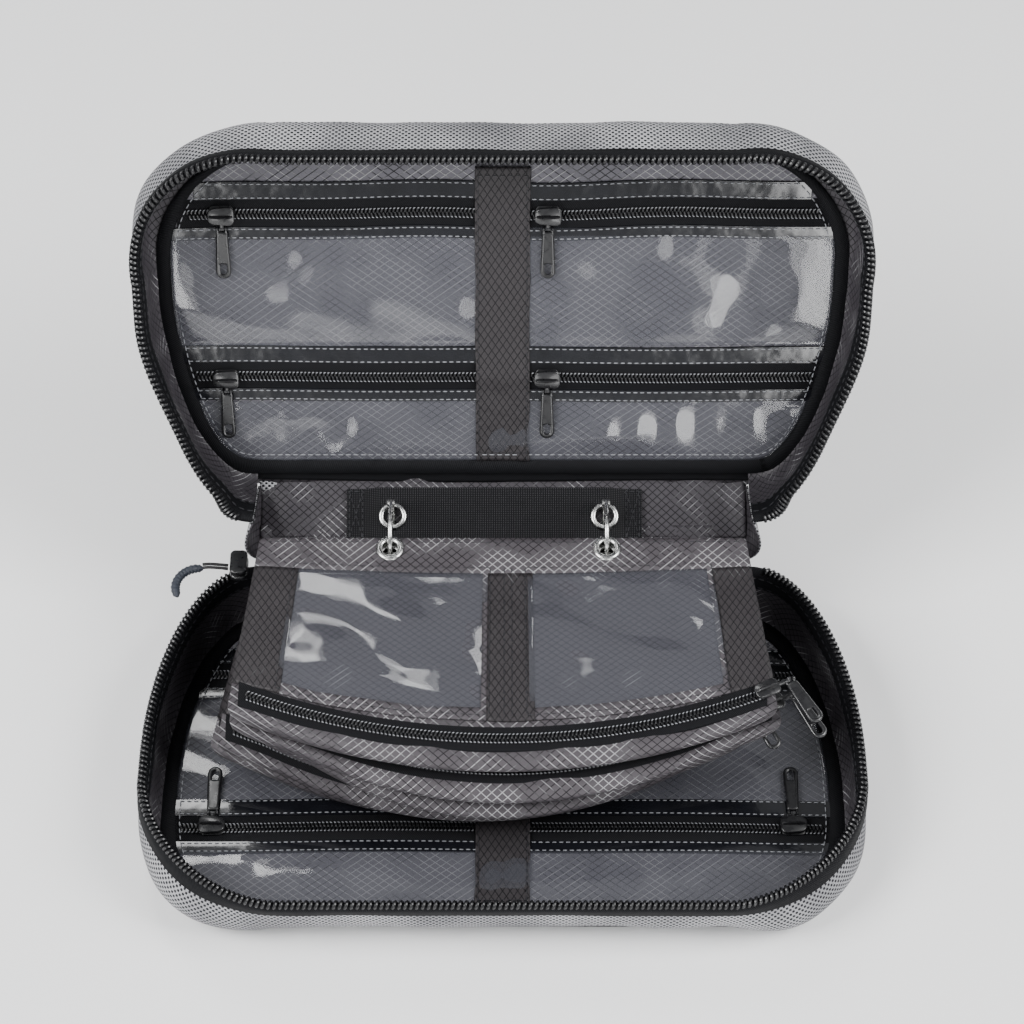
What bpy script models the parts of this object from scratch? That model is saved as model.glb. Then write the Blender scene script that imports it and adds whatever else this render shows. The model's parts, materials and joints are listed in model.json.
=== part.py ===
"""Zip-around organiser bag with a folding spine and ring-bound zip pouches.

Frame: +X to the right, +Y back towards the spine and the lid, +Z up.  The origin is the
middle of the flat face that the lower shell rests on.
All sizes are in metres.

Each half of the bag is modelled in a half frame: x along the spine, y from the spine to the
far edge, z from the outer back face into the bag.  The lower half is that frame turned half
a turn about Z, and the upper half is that frame tilted about the spine's upper fold.
"""

import math

import bmesh
import bpy
from mathutils import Matrix, Vector

# ---------------------------------------------------------------- driving dimensions
WIDTH = 0.240            # widest, across the rims
DEPTH = 0.130            # spine to far edge of one half
HALF_HEIGHT = 0.030      # one half, outer back face to the middle of the closed zip
SPINE_LENGTH = 0.170     # straight part of the spine
CORNER_DEPTH = 0.075     # the spine-side corners are quarter ellipses this deep
FAR_RADIUS = 0.045       # far corners in plan
WALL = 0.0025            # padded fabric
GAP = 0.0003             # between pieces that touch

# rest pose
SPINE_TILT = math.radians(26)    # upper spine panel above level
LID_TILT = math.radians(62)      # lid's back panel above level

# rim zip
RIM = 0.0275             # fabric wall ends here, and the zip stands on it
ZIP_HEIGHT = 0.0019
ZIP_WIDTH = 0.0032
RIM_ZIP_START = 0.012    # the rim zip ends this far short of the spine, along y
SHELL_START = 0.0085     # the upper shell's solid starts here, and soft fabric goes on to the fold

# pocket panel of one half, as distances from the spine in the upper half
ZIP_ROWS = (0.101, 0.042)
ZIP_BAND = 0.0088
WINDOW_ROWS = ((0.0493, 0.0960), (0.0200, 0.0370))
FLOOR_INSET = 0.0125     # outline to the pocket panel's edge binding
BINDING_WIDTH = 0.004
STRIP_WIDTH = 0.018
STRIP_REACH = (0.0185, 0.1125)
SHEET = 0.0004           # clear pocket sheet
TAPE_THICK = 0.0012      # zip with its coil

# sliders and pull tabs
SLIDER = (0.0090, 0.0066, 0.0026)
TAB_LENGTH = 0.0175
TAB_WIDTH = 0.0050
TAB_THICK = 0.0010
TAB_HOLE = (0.0060, 0.0024)
TAB_CLEAR = 0.0014       # slider's side to the tab's hinge

# spine, webbing and rings
UPPER_SPINE = HALF_HEIGHT - WALL / 2
FOLD_CLEAR = 0.0026
SPINE_THICK = 0.0020
WEBBING_LENGTH = 0.102
WEBBING_X = -0.003
WEBBING = 0.018
WEBBING_LOW = 0.0085     # its lower edge above the spine's fold
WEBBING_LIFT = 0.0047    # the raised stretch above the spine panel's middle
WEBBING_THICK = 0.0012
RING_X = (-0.038, 0.035)
RING_RADIUS = 0.012
RING_WIRE = 0.0010
RING_LIFT = 0.0144       # ring centre above the spine panel's middle
KNUCKLE = math.radians(125)
EYELET_UP = 0.0079       # webbing eyelet's centre above the webbing's lower edge
EYELET_HOLE = 0.0033
EYELET_OUTER = 0.00495

# zip pouches bound on the rings
PAGES = 5
PAGE_FIRST = math.radians(30)    # first pouch's place round the ring, up from the front
PAGE_STEP = math.radians(14)
PAGE_SLOPE = math.radians(2.5)   # first pouch falls towards the front
PAGE_FAN = math.radians(4.7)     # and each one below it by this much more
PAGE_BACK = 0.0042       # pouch behind its eyelets
PAGE_SIDE = 0.064        # eyelets to the front corner
PAGE_MIDDLE = 0.0825     # eyelets to the middle of the front edge
PAGE_HALF_BACK = 0.082
PAGE_HALF_FRONT = (0.090, 0.091, 0.080, 0.088, 0.087)
PAGE_LEAN = (0.0, 0.001, -0.002, -0.008, -0.012)    # sideways, at the front edge
PAGE_THICK = (0.0016, 0.0044)
PAGE_HOLE = 0.0032
PAGE_ZIP_IN = 0.010      # front edge to the zip's middle
PAGE_ZIP_BAND = 0.007
PAGE_ZIP_THICK = 0.0009
PAGE_SLIDERS = 3         # pouches whose sliders stand clear of the stack
PAGE_SLIDER = (0.0085, 0.0060, 0.0012)
PAGE_SLIDER_IN = 0.0040          # slider's middle in from the pouch's side
PAGE_TAB_OUT = math.radians(30)  # tabs lie level with their pouch, turned this far outward

# puller on the main slider
MAIN_SLIDER = (0.0060, 0.0095, 0.0070)

COLOURS = {
    "outer_weave": ((0.55, 0.55, 0.55), 0.8, 0.0),
    "ripstop": ((0.10, 0.095, 0.10), 0.6, 0.0),
    "clear_sheet": ((0.75, 0.76, 0.78), 0.1, 0.0),
    "black_tape": ((0.012, 0.012, 0.014), 0.7, 0.0),
    "zip_coil": ((0.01, 0.01, 0.012), 0.4, 0.0),
    "black_metal": ((0.015, 0.015, 0.017), 0.35, 0.6),
    "nickel": ((0.75, 0.75, 0.74), 0.18, 1.0),
    "puller": ((0.03, 0.035, 0.045), 0.45, 0.0),
}


# ---------------------------------------------------------------- places
def turn_x(angle):
    return Matrix.Rotation(angle, 4, "X")


SPINE_Y = (DEPTH - WALL / 2) / 2     # the spine's line, from the middle of the resting face
FOLD = Vector((0, SPINE_Y, HALF_HEIGHT))
SPINE_FRAME = Matrix.Translation(FOLD) @ turn_x(SPINE_TILT)
LID_FOLD = SPINE_FRAME @ Vector((0, UPPER_SPINE, 0))
LID_FRAME = Matrix.Translation(LID_FOLD) @ turn_x(LID_TILT) @ Matrix.Translation((0, 0, -WALL / 2))
BASE_FRAME = Matrix.Translation((0, SPINE_Y, 0)) @ Matrix.Rotation(math.pi, 4, "Z")
RING_CENTRE = SPINE_FRAME @ Vector((0, WEBBING_LOW, RING_LIFT))


def on_ring(angle):
    """A point of the rings' centre line, by its angle up from the front."""
    return RING_CENTRE + RING_RADIUS * Vector((0, -math.cos(angle), math.sin(angle)))


def page_frame(number):
    """Pouch 0 is the top one. Its frame's origin is level with its eyelets' middle."""
    place = on_ring(PAGE_FIRST - number * PAGE_STEP)
    return Matrix.Translation(place) @ turn_x(number * PAGE_FAN + PAGE_SLOPE)


# ---------------------------------------------------------------- mesh helpers
def start_clean():
    for obj in list(bpy.data.objects):
        bpy.data.objects.remove(obj, do_unlink=True)


def material(slot):
    made = bpy.data.materials.get(slot)
    if made:
        return made
    colour, roughness, metallic = COLOURS[slot]
    made = bpy.data.materials.new(slot)
    made.use_nodes = True
    shader = made.node_tree.nodes["Principled BSDF"]
    shader.inputs["Base Color"].default_value = (*colour, 1)
    shader.inputs["Roughness"].default_value = roughness
    shader.inputs["Metallic"].default_value = metallic
    return made


def joint_empty(name, place, parent=None):
    """An empty on a joint's axis, which the pieces that move with it are parented to."""
    empty = bpy.data.objects.new(name, None)
    bpy.context.scene.collection.objects.link(empty)
    empty["place"] = list(place)
    if parent:
        empty.parent = parent
        empty.matrix_parent_inverse = Matrix.Translation(-Vector(parent["place"]))
    empty.matrix_basis = Matrix.Translation(place)
    return empty


def add(name, mesh, slot, body, frame):
    """Put a closed mesh in the scene as one piece of a body, its faces pointing out."""
    work = bmesh.new()
    work.from_mesh(mesh)
    bmesh.ops.recalc_face_normals(work, faces=work.faces)
    work.to_mesh(mesh)
    work.free()
    mesh.shade_smooth()
    mesh.set_sharp_from_angle(angle=math.radians(35))
    obj = bpy.data.objects.new(name, mesh)
    bpy.context.scene.collection.objects.link(obj)
    obj.data.materials.append(material(slot))
    obj.parent = body
    obj.matrix_parent_inverse = Matrix.Translation(-Vector(body["place"]))
    obj.matrix_basis = frame
    return obj


def mesh_of(name, points, faces):
    mesh = bpy.data.meshes.new(name)
    mesh.from_pydata([tuple(p) for p in points], [], faces)
    return mesh


def loft(name, rings, loop=True, caps=True):
    """Join equal rings of points by quads. A loop closes each ring, caps close the ends."""
    count = len(rings[0])
    points = [p for ring in rings for p in ring]
    faces = []
    for i in range(len(rings) - 1):
        for j in range(count if loop else count - 1):
            k = (j + 1) % count
            faces.append((i * count + j, i * count + k, (i + 1) * count + k, (i + 1) * count + j))
    if caps:
        faces.append(tuple(range(count)))
        faces.append(tuple(range((len(rings) - 1) * count, len(rings) * count)))
    return mesh_of(name, points, faces)


def prism(name, outline, low, high):
    """A flat outline of (x, y) points raised between two heights."""
    return loft(name, [[(x, y, z) for x, y in outline] for z in (low, high)])


def cut(obj, cutter_mesh, frame):
    """Take a solid away from a piece. The cutter is a guide that is no part of the model."""
    cutter = bpy.data.objects.new(obj.name + "_cutter", cutter_mesh)
    bpy.context.scene.collection.objects.link(cutter)
    cutter.matrix_basis = frame
    cutter.hide_render = True
    cutter.display_type = "WIRE"
    work = bmesh.new()
    work.from_mesh(cutter_mesh)
    bmesh.ops.recalc_face_normals(work, faces=work.faces)
    work.to_mesh(cutter_mesh)
    work.free()
    boolean = obj.modifiers.new("cut", "BOOLEAN")
    boolean.operation = "DIFFERENCE"
    boolean.solver = "EXACT"
    boolean.object = cutter


def circle(radius, sides, x=0.0, y=0.0):
    steps = [2 * math.pi * i / sides for i in range(sides)]
    return [(x + radius * math.cos(a), y + radius * math.sin(a)) for a in steps]


def box_outline(width, length, chamfer=0.0):
    """A centred rectangle with its four corners cut."""
    x, y, c = width / 2, length / 2, chamfer
    if not c:
        return [(-x, -y), (x, -y), (x, y), (-x, y)]
    return [(-x + c, -y), (x - c, -y), (x, -y + c), (x, y - c), (x - c, y), (-x + c, y),
            (-x, y - c), (-x, -y + c)]


# ---------------------------------------------------------------- outline of one half
def outline_side(inset, corner_steps=14, far_steps=10):
    """The right half of the plan outline, from the spine's end to the far edge's middle line."""
    wide, spine = WIDTH / 2, SPINE_LENGTH / 2
    points = []
    for i in range(corner_steps + 1):
        t = math.pi / 2 * i / corner_steps
        across, along = wide - spine, CORNER_DEPTH + WALL / 2
        x = spine + across * math.sin(t)
        y = CORNER_DEPTH - along * math.cos(t)
        normal = Vector((along * math.sin(t), -across * math.cos(t))).normalized()
        points.append((x - inset * normal.x, y - inset * normal.y))
    for i in range(far_steps + 1):
        t = math.pi / 2 * i / far_steps
        x = wide - FAR_RADIUS + (FAR_RADIUS - inset) * math.cos(t)
        y = DEPTH - FAR_RADIUS + (FAR_RADIUS - inset) * math.sin(t)
        points.append((x, y))
    return points


def outline(inset):
    right = outline_side(inset)
    return right + [(-x, y) for x, y in reversed(right)]


def half_width(y, inset):
    """Half the outline's width at a distance from the spine."""
    side = outline_side(inset)
    for (x0, y0), (x1, y1) in zip(side, side[1:]):
        if y0 <= y <= y1:
            return x0 + (x1 - x0) * (y - y0) / (y1 - y0)
    return side[-1][0]


def band(y0, y1, inset, steps=6):
    """The stretch of the floor between two distances from the spine, as an outline."""
    ys = [y0 + (y1 - y0) * i / steps for i in range(steps + 1)]
    right = [(half_width(y, inset), y) for y in ys]
    return right + [(-x, y) for x, y in reversed(right)]


# ---------------------------------------------------------------- one half's pieces
OUTER_PROFILE = ((0.009, 0.0), (0.0058, 0.0009), (0.0030, 0.0030), (0.0011, 0.0065),
                 (0.0002, 0.0110), (0.0, 0.0160), (0.0, RIM))


def shell(name, body, frame):
    """A padded tray: rounded at its back edges, with a flat back and upright walls."""
    rings = [[(x, y, z) for x, y in outline(inset)] for inset, z in OUTER_PROFILE]
    inner = [(inset + WALL, z + WALL if z < RIM / 2 else z) for inset, z in reversed(OUTER_PROFILE)]
    rings += [[(x, y, z) for x, y in outline(inset)] for inset, z in inner]
    return add(name, loft(name, rings), "outer_weave", body, frame)


def rim_zip(name, body, frame):
    """Half of the main zip, which runs round the rim from one end of the spine to the other."""
    inner, outer = outline_side(ZIP_WIDTH + 0.0002), outline_side(0.0002)
    keep = [i for i, (x, y) in enumerate(outer) if y > RIM_ZIP_START]
    low, high = RIM + GAP, RIM + GAP + ZIP_HEIGHT
    right = []
    for i in keep:
        (x0, y0), (x1, y1) = outer[i], inner[i]
        right.append([(x0, y0, low), (x1, y1, low), (x1, y1, high), (x0, y0, high)])
    left = [[(-x, y, z) for x, y, z in ring] for ring in reversed(right)]
    return add(name, loft(name, right + left), "zip_coil", body, frame)


def binding(name, body, frame):
    """Black tape round the pocket panel."""
    z0 = WALL + GAP
    rings = []
    for inset, z in ((FLOOR_INSET, z0), (FLOOR_INSET, z0 + 0.0012),
                     (FLOOR_INSET + BINDING_WIDTH, z0 + 0.0012),
                     (FLOOR_INSET + BINDING_WIDTH, z0), (FLOOR_INSET, z0)):
        rings.append([(x, y, z) for x, y in outline(inset)])
    mesh = loft(name, rings, caps=False)
    work = bmesh.new()
    work.from_mesh(mesh)
    bmesh.ops.remove_doubles(work, verts=work.verts, dist=1e-6)
    work.to_mesh(mesh)
    work.free()
    return add(name, mesh, "black_tape", body, frame)


def tab_mesh(name):
    """A flat pull tab with a rounded end and an oval hole, hanging from x = 0 along -y."""
    steps = 8
    half, hole = TAB_WIDTH / 2, TAB_HOLE[1] / 2
    outer, inner = [], []
    for i in range(steps + 1):
        a = math.pi * i / steps
        outer.append((half * math.cos(a), -TAB_LENGTH + half - half * math.sin(a)))
        inner.append((hole * math.cos(a), -TAB_LENGTH + half - hole * math.sin(a)))
    for i in range(steps + 1):
        a = math.pi + math.pi * i / steps
        neck, top = half * 0.62, -0.0008
        outer.append((neck * math.cos(a), top - neck * math.sin(a) * 0.3))
        inner.append((hole * math.cos(a), -TAB_LENGTH + half + TAB_HOLE[0] - hole
                      - hole * math.sin(a)))
    half_thick = TAB_THICK / 2
    rings = [[(x, y, z) for x, y in ring] for ring, z in
             ((outer, -half_thick), (outer, half_thick), (inner, half_thick),
              (inner, -half_thick), (outer, -half_thick))]
    mesh = loft(name, rings, caps=False)
    work = bmesh.new()
    work.from_mesh(mesh)
    bmesh.ops.remove_doubles(work, verts=work.verts, dist=1e-6)
    work.to_mesh(mesh)
    work.free()
    return mesh


def slider_with_tab(name, body, frame, size, tab_place):
    """A zip slider on its own body, and its pull tab on another, hinged beside the slider.

    The frame's origin is on the zip's top face, with x along the zip and z away from it.
    """
    length, width, height = size
    slider_body = joint_empty(name + "_body", frame.to_translation(), body)
    mesh = prism(name, box_outline(length, width, 0.0016), GAP, GAP + height)
    add(name, mesh, "black_metal", slider_body, frame)
    pivot = frame @ Matrix.Translation((0, 0, GAP + height / 2)) @ tab_place
    tab_body = joint_empty(name + "_tab_body", pivot.to_translation(), slider_body)
    add(name + "_tab", tab_mesh(name + "_tab"), "black_metal", tab_body, pivot)


def pocket_panel(prefix, body, frame, rows, windows, slider_x, tab_place):
    """Two rows of clear zip pockets on the half's inner face, with a strip down the middle."""
    z0 = WALL + GAP
    inset = FLOOR_INSET + BINDING_WIDTH + GAP
    zip_top = z0 + TAPE_THICK
    for i, (row, (y0, y1)) in enumerate(zip(rows, windows), 1):
        name = f"{prefix}_pocket_window_{i}"
        add(name, prism(name, band(y0, y1, inset), z0, z0 + SHEET), "clear_sheet", body, frame)
        name = f"{prefix}_pocket_zip_{i}"
        outline_points = band(row - ZIP_BAND / 2, row + ZIP_BAND / 2, inset, 2)
        add(name, prism(name, outline_points, z0, zip_top), "zip_coil", body, frame)
        for side, x in slider_x:
            name = f"{prefix}_slider_{side}_{i}"
            reach = half_width(row, inset) - SLIDER[0] / 2 - 0.001
            place = Matrix.Translation((max(-reach, min(reach, x)), row, zip_top))
            slider_with_tab(name, body, frame @ place, SLIDER, tab_place)
    name = prefix + "_centre_strip"
    y0, y1 = STRIP_REACH if rows == ZIP_ROWS else [DEPTH - y for y in reversed(STRIP_REACH)]
    half = STRIP_WIDTH / 2
    outline_points = [(-half, y0), (half, y0), (half, y1), (-half, y1)]
    strip = prism(name, outline_points, zip_top + GAP, zip_top + GAP + 0.0005)
    add(name, strip, "ripstop", body, frame)


# ---------------------------------------------------------------- spine, webbing, rings
def spine_panel(body):
    half, end = SPINE_LENGTH / 2 - 0.001, UPPER_SPINE - FOLD_CLEAR
    points = [(-half, FOLD_CLEAR), (half, FOLD_CLEAR), (half, end), (-half, end)]
    thick = SPINE_THICK / 2
    mesh = prism("spine_panel", points, -thick, thick)
    add("spine_panel", mesh, "ripstop", body, SPINE_FRAME)


def webbing(body):
    """A strap sewn down at both ends and raised between them, so the rings pass under it."""
    low = SPINE_THICK / 2 + GAP
    x0, x1 = WEBBING_X - WEBBING_LENGTH / 2, WEBBING_X + WEBBING_LENGTH / 2
    sewn, ramp = 0.006, 0.006
    route = [(x0, low), (x0 + sewn, low), (x0 + sewn + ramp, WEBBING_LIFT),
             (x1 - sewn - ramp, WEBBING_LIFT), (x1 - sewn, low), (x1, low)]
    section = route + [(x, z + WEBBING_THICK) for x, z in reversed(route)]
    y0, y1 = WEBBING_LOW, WEBBING_LOW + WEBBING
    mesh = loft("ring_webbing", [[(x, y, z) for x, z in section] for y in (y0, y1)])
    strap = add("ring_webbing", mesh, "black_tape", body, SPINE_FRAME)
    for side, x in zip(("left", "right"), RING_X):
        hole = prism("hole", circle(EYELET_HOLE + 0.0009, 20), 0, 0.012)
        place = SPINE_FRAME @ Matrix.Translation((x, WEBBING_LOW + EYELET_UP, 0))
        cut(strap, hole, place)
        eyelet("webbing_eyelet_" + side, body, place)


def eyelet(name, body, frame):
    """A pressed eyelet: a barrel through the webbing with a flange over its hole."""
    top, bottom = WEBBING_LIFT + WEBBING_THICK + GAP, WEBBING_LIFT
    barrel = EYELET_HOLE + 0.0005
    profile = ((EYELET_HOLE, bottom), (EYELET_HOLE, top + 0.0004), (EYELET_OUTER, top + 0.0004),
               (EYELET_OUTER, top), (barrel, top), (barrel, bottom), (EYELET_HOLE, bottom))
    rings = [[(x, y, z) for x, y in circle(radius, 28)] for radius, z in profile]
    mesh = loft(name, rings, caps=False)
    work = bmesh.new()
    work.from_mesh(mesh)
    bmesh.ops.remove_doubles(work, verts=work.verts, dist=1e-6)
    work.to_mesh(mesh)
    work.free()
    add(name, mesh, "nickel", body, frame)


def ring_half(name, body, x, start, end):
    """A stretch of ring wire between two angles up from the front."""
    steps, sides = 22, 8
    rings = []
    for i in range(steps + 1):
        a = start + (end - start) * i / steps
        out = Vector((0, -math.cos(a), math.sin(a)))
        centre = RING_CENTRE + RING_RADIUS * out + Vector((x, 0, 0))
        ring = []
        for j in range(sides):
            b = 2 * math.pi * j / sides
            ring.append(centre + RING_WIRE * (math.cos(b) * out + math.sin(b) * Vector((1, 0, 0))))
        rings.append(ring)
    add(name, loft(name, rings), "nickel", body, Matrix.Identity(4))


def rings(fixed_body, gate_body):
    """Two split rings. The back half of each holds the webbing, the front half the pouches."""
    clear = math.radians(4)
    for side, x in zip(("left", "right"), RING_X):
        ring_half(f"ring_{side}_back", fixed_body, x, KNUCKLE + clear, KNUCKLE + math.pi - clear / 2)
        ring_half(f"ring_{side}_gate", gate_body, x, KNUCKLE - math.pi + clear / 2, KNUCKLE - clear)


# ---------------------------------------------------------------- zip pouches
def page_arc(number):
    """Radius of a pouch's curved front edge."""
    sag = PAGE_MIDDLE - PAGE_SIDE
    return (PAGE_HALF_FRONT[number] ** 2 + sag ** 2) / (2 * sag)


def page_front(number, x):
    """Distance from the eyelets to the pouch's front edge."""
    radius = page_arc(number)
    return PAGE_MIDDLE - radius + math.sqrt(radius ** 2 - x ** 2)


def page_point(number, u, t):
    """A place on the pouch: u across it, -1 to 1, and t from its back edge to its front."""
    front = PAGE_HALF_FRONT[number]
    half = PAGE_HALF_BACK + (front - PAGE_HALF_BACK) * t
    x = u * half + PAGE_LEAN[number] * t
    y = PAGE_BACK - (page_front(number, u * front) + PAGE_BACK) * t
    return x, y


def page_half_thick(t):
    return (PAGE_THICK[0] + (PAGE_THICK[1] - PAGE_THICK[0]) * t) / 2


def page(number, body):
    """A flat pouch, thickening towards its zipped front edge, with two holes for the rings."""
    frame = page_frame(number)
    name = f"pouch_{number + 1}"
    columns, rows = 14, 8
    rings = []
    for i in range(columns + 1):
        u = 2 * i / columns - 1
        top, bottom = [], []
        for j in range(rows + 1):
            t = j / rows
            x, y = page_point(number, u, t)
            top.append((x, y, page_half_thick(t)))
            bottom.append((x, y, -page_half_thick(t)))
        rings.append(top + bottom[::-1])
    obj = add(name, loft(name, rings), "ripstop", body, frame)
    for x in RING_X:
        cut(obj, prism("hole", circle(PAGE_HOLE, 20), -0.004, 0.004),
            frame @ Matrix.Translation((x, 0, 0)))

    lift = PAGE_THICK[1] / 2 + GAP
    name = f"pouch_{number + 1}_zip"
    reach = PAGE_HALF_FRONT[number] - 0.006
    rings = []
    for i in range(columns * 2 + 1):
        x = reach * (i / columns - 1)
        middle = page_front(number, x) - PAGE_ZIP_IN
        x += PAGE_LEAN[number]
        y0, y1 = -middle - PAGE_ZIP_BAND / 2, -middle + PAGE_ZIP_BAND / 2
        rings.append([(x, y0, lift), (x, y1, lift), (x, y1, lift + PAGE_ZIP_THICK),
                      (x, y0, lift + PAGE_ZIP_THICK)])
    add(name, loft(name, rings), "zip_coil", body, frame)
    if number < PAGE_SLIDERS:
        page_slider(number, body, frame, lift + PAGE_ZIP_THICK)


def page_zip_centre(number):
    """The middle of the arc that a pouch's zip follows, in the pouch's frame."""
    return Vector((PAGE_LEAN[number], page_arc(number) - PAGE_MIDDLE, 0))


def page_slider(number, body, frame, height):
    """The slider at the zip's right end. Its path is the arc of the zip."""
    radius = page_arc(number) - PAGE_ZIP_IN
    angle = math.asin((PAGE_HALF_FRONT[number] - PAGE_SLIDER_IN) / radius)
    arm = Vector((radius * math.sin(angle), -radius * math.cos(angle), height))
    place = Matrix.Translation(page_zip_centre(number) + arm) @ Matrix.Rotation(angle, 4, "Z")
    side = PAGE_SLIDER[0] / 2 + TAB_WIDTH / 2 + TAB_CLEAR
    tab_place = Matrix.Translation((side, 0, 0)) @ Matrix.Rotation(PAGE_TAB_OUT - angle, 4, "Z")
    slider_with_tab(f"pouch_{number + 1}_slider", body, frame @ place, PAGE_SLIDER, tab_place)


# ---------------------------------------------------------------- main slider and puller
def main_slider(body):
    """The main zip's slider, parked where the two rims meet at the spine's left end."""
    x, y = -SPINE_LENGTH / 2 - 0.0060, SPINE_Y - 0.0012
    frame = Matrix.Translation((x, y, HALF_HEIGHT))
    wide, deep, tall = MAIN_SLIDER
    mesh = prism("main_slider", box_outline(wide, deep, 0.0015), -tall / 2 + 0.003, tall / 2 + 0.003)
    add("main_slider", mesh, "black_metal", body, frame)
    pivot = Vector((x - wide / 2 - 0.0014, y, HALF_HEIGHT + 0.001))
    pull = joint_empty("puller_body", pivot, body)
    route = [(0.0, 0.0), (-0.004, 0.0006), (-0.0085, 0.0004), (-0.0118, -0.0012)]
    rings = tube_rings([pivot + Vector((dx, 0, dz)) for dx, dz in route], 0.0006, 8)
    add("puller_loop", loft("puller_loop", rings), "black_tape", pull, Matrix.Identity(4))
    arc_radius, middle = 0.0075, pivot + Vector((-0.0140, -0.0085, -0.0040))
    points = []
    for i in range(13):
        a = math.radians(80 + 130 * i / 12)
        points.append(middle + arc_radius * Vector((math.cos(a), math.sin(a), 0.0)))
    rings = tube_rings(points, 0.0015, 10)
    add("puller_grip", loft("puller_grip", rings), "puller", pull, Matrix.Identity(4))


def tube_rings(points, radius, sides):
    """Rings of points round a path, each square to it."""
    rings = []
    for i, centre in enumerate(points):
        along = (points[min(i + 1, len(points) - 1)] - points[max(i - 1, 0)]).normalized()
        side = along.cross(Vector((0, 0, 1))).normalized()
        up = side.cross(along)
        steps = [2 * math.pi * j / sides for j in range(sides)]
        rings.append([centre + radius * (math.cos(b) * side + math.sin(b) * up) for b in steps])
    return rings


# ---------------------------------------------------------------- the whole bag
def build():
    start_clean()
    base = joint_empty("base_body", (0, 0, 0))
    spine = joint_empty("spine_body", FOLD, base)
    lid = joint_empty("lid_body", LID_FOLD, spine)
    ring_body = joint_empty("rings_body", RING_CENTRE, spine)
    gates = joint_empty("gates_body", on_ring(KNUCKLE), ring_body)

    shell("lower_shell", base, BASE_FRAME)
    rim_zip("lower_rim_zip", base, BASE_FRAME)
    binding("lower_binding", base, BASE_FRAME)
    lower_rows = [DEPTH - row for row in ZIP_ROWS]
    lower_windows = [(DEPTH - y1, DEPTH - y0) for y0, y1 in WINDOW_ROWS]
    ends = (("left", WIDTH / 2), ("right", -WIDTH / 2))
    tab_place = Matrix.Translation((0, -SLIDER[1] / 2 - TAB_CLEAR, 0))
    pocket_panel("lower", base, BASE_FRAME, lower_rows, lower_windows, ends, tab_place)

    upper = shell("upper_shell", lid, LID_FRAME)
    reach = WIDTH
    corners = [(-reach, -reach), (reach, -reach), (reach, SHELL_START), (-reach, SHELL_START)]
    spine_side = prism("spine_side", corners, -reach, reach)
    cut(upper, spine_side, LID_FRAME)
    rim_zip("upper_rim_zip", lid, LID_FRAME)
    binding("upper_binding", lid, LID_FRAME)
    ends = (("left", -WIDTH / 2), ("right", 0.0150))
    pocket_panel("upper", lid, LID_FRAME, ZIP_ROWS, WINDOW_ROWS, ends, tab_place)

    spine_panel(spine)
    webbing(spine)
    rings(ring_body, gates)
    for number in range(PAGES):
        page(number, joint_empty(f"pouch_{number + 1}_body", RING_CENTRE, gates))
    main_slider(base)


build()
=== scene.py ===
"""The looks of a zip-around organiser bag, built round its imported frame.

Row frame: +X right along the spine, +Y back from the lower half to the lid, +Z up, in metres.
Each half of the bag is drawn in a half frame: x along the spine, y from the spine to the far
edge, z from the outer back face into the bag.
"""

import json
import math

import bmesh
import bpy
import numpy as np
from mathutils import Matrix, Vector


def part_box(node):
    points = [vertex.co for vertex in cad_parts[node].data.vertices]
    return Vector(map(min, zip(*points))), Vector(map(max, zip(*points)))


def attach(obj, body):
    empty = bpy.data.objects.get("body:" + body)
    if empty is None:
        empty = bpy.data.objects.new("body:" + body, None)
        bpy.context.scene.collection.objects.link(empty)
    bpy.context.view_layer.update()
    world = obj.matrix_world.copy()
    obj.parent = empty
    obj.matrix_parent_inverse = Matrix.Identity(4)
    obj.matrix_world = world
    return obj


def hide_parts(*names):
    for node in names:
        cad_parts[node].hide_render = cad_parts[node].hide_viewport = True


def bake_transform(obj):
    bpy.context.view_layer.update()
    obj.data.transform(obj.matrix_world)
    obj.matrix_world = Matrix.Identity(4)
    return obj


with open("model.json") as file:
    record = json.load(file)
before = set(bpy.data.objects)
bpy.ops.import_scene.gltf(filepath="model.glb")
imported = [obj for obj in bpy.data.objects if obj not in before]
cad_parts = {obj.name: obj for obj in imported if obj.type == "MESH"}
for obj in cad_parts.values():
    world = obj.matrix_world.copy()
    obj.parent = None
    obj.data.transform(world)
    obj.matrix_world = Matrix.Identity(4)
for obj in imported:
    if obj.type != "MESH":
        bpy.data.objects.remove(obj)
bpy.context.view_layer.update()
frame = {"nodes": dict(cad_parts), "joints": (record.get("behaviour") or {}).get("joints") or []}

# ---------------------------------------------------------------- sizes, as in the frame
WIDTH = 0.240
DEPTH = 0.130
SPINE_LENGTH = 0.170
CORNER_DEPTH = 0.075             # from the spine to where the ends run straight
FAR_RADIUS = 0.045
WALL = 0.0025                    # thickness
RIM = 0.0275                     # height of the rim in a half
LID_TILT = math.radians(62)      # as the bag stands open
ZIP_ROWS = (0.101, 0.042)        # pocket zips, from the spine, in the upper half
PANEL_INSET = 0.0062             # outline to the pocket panel's edge
FLOOR = 0.0028                   # height of the pocket panel's underside
ZIP_TOP = 0.0040                 # top face of the pocket zips in the frame
STRIP_WIDTH = 0.018
TAB_LENGTH = 0.0175
TAB_WIDTH = 0.0050
TAB_CLEAR = 0.0014               # space beside a slider for its tab
TAPE_CLEAR = 0.0003              # under a slider
POCKET_SLIDER = (0.0090, 0.0066, 0.0026)
POUCH_SLIDER = (0.0085, 0.0060, 0.0012)
RING_X = (-0.038, 0.035)
RING_RADIUS = 0.012
KNUCKLE = math.radians(125)      # place of a ring's hinge on its circle
WEBBING_LOW = 0.0085             # lower edge, up the spine
WEBBING_TOP = 0.0059             # front face, from the spine's middle
EYELET_UP = 0.0079               # from the webbing's lower edge
PAGES = 5                        # the pouches, as pages on the rings
PAGE_FIRST = math.radians(30)    # place of the first one's holes on the rings' circle
PAGE_STEP = math.radians(14)
PAGE_SLOPE = math.radians(2.5)
PAGE_FAN = math.radians(4.7)
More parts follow.
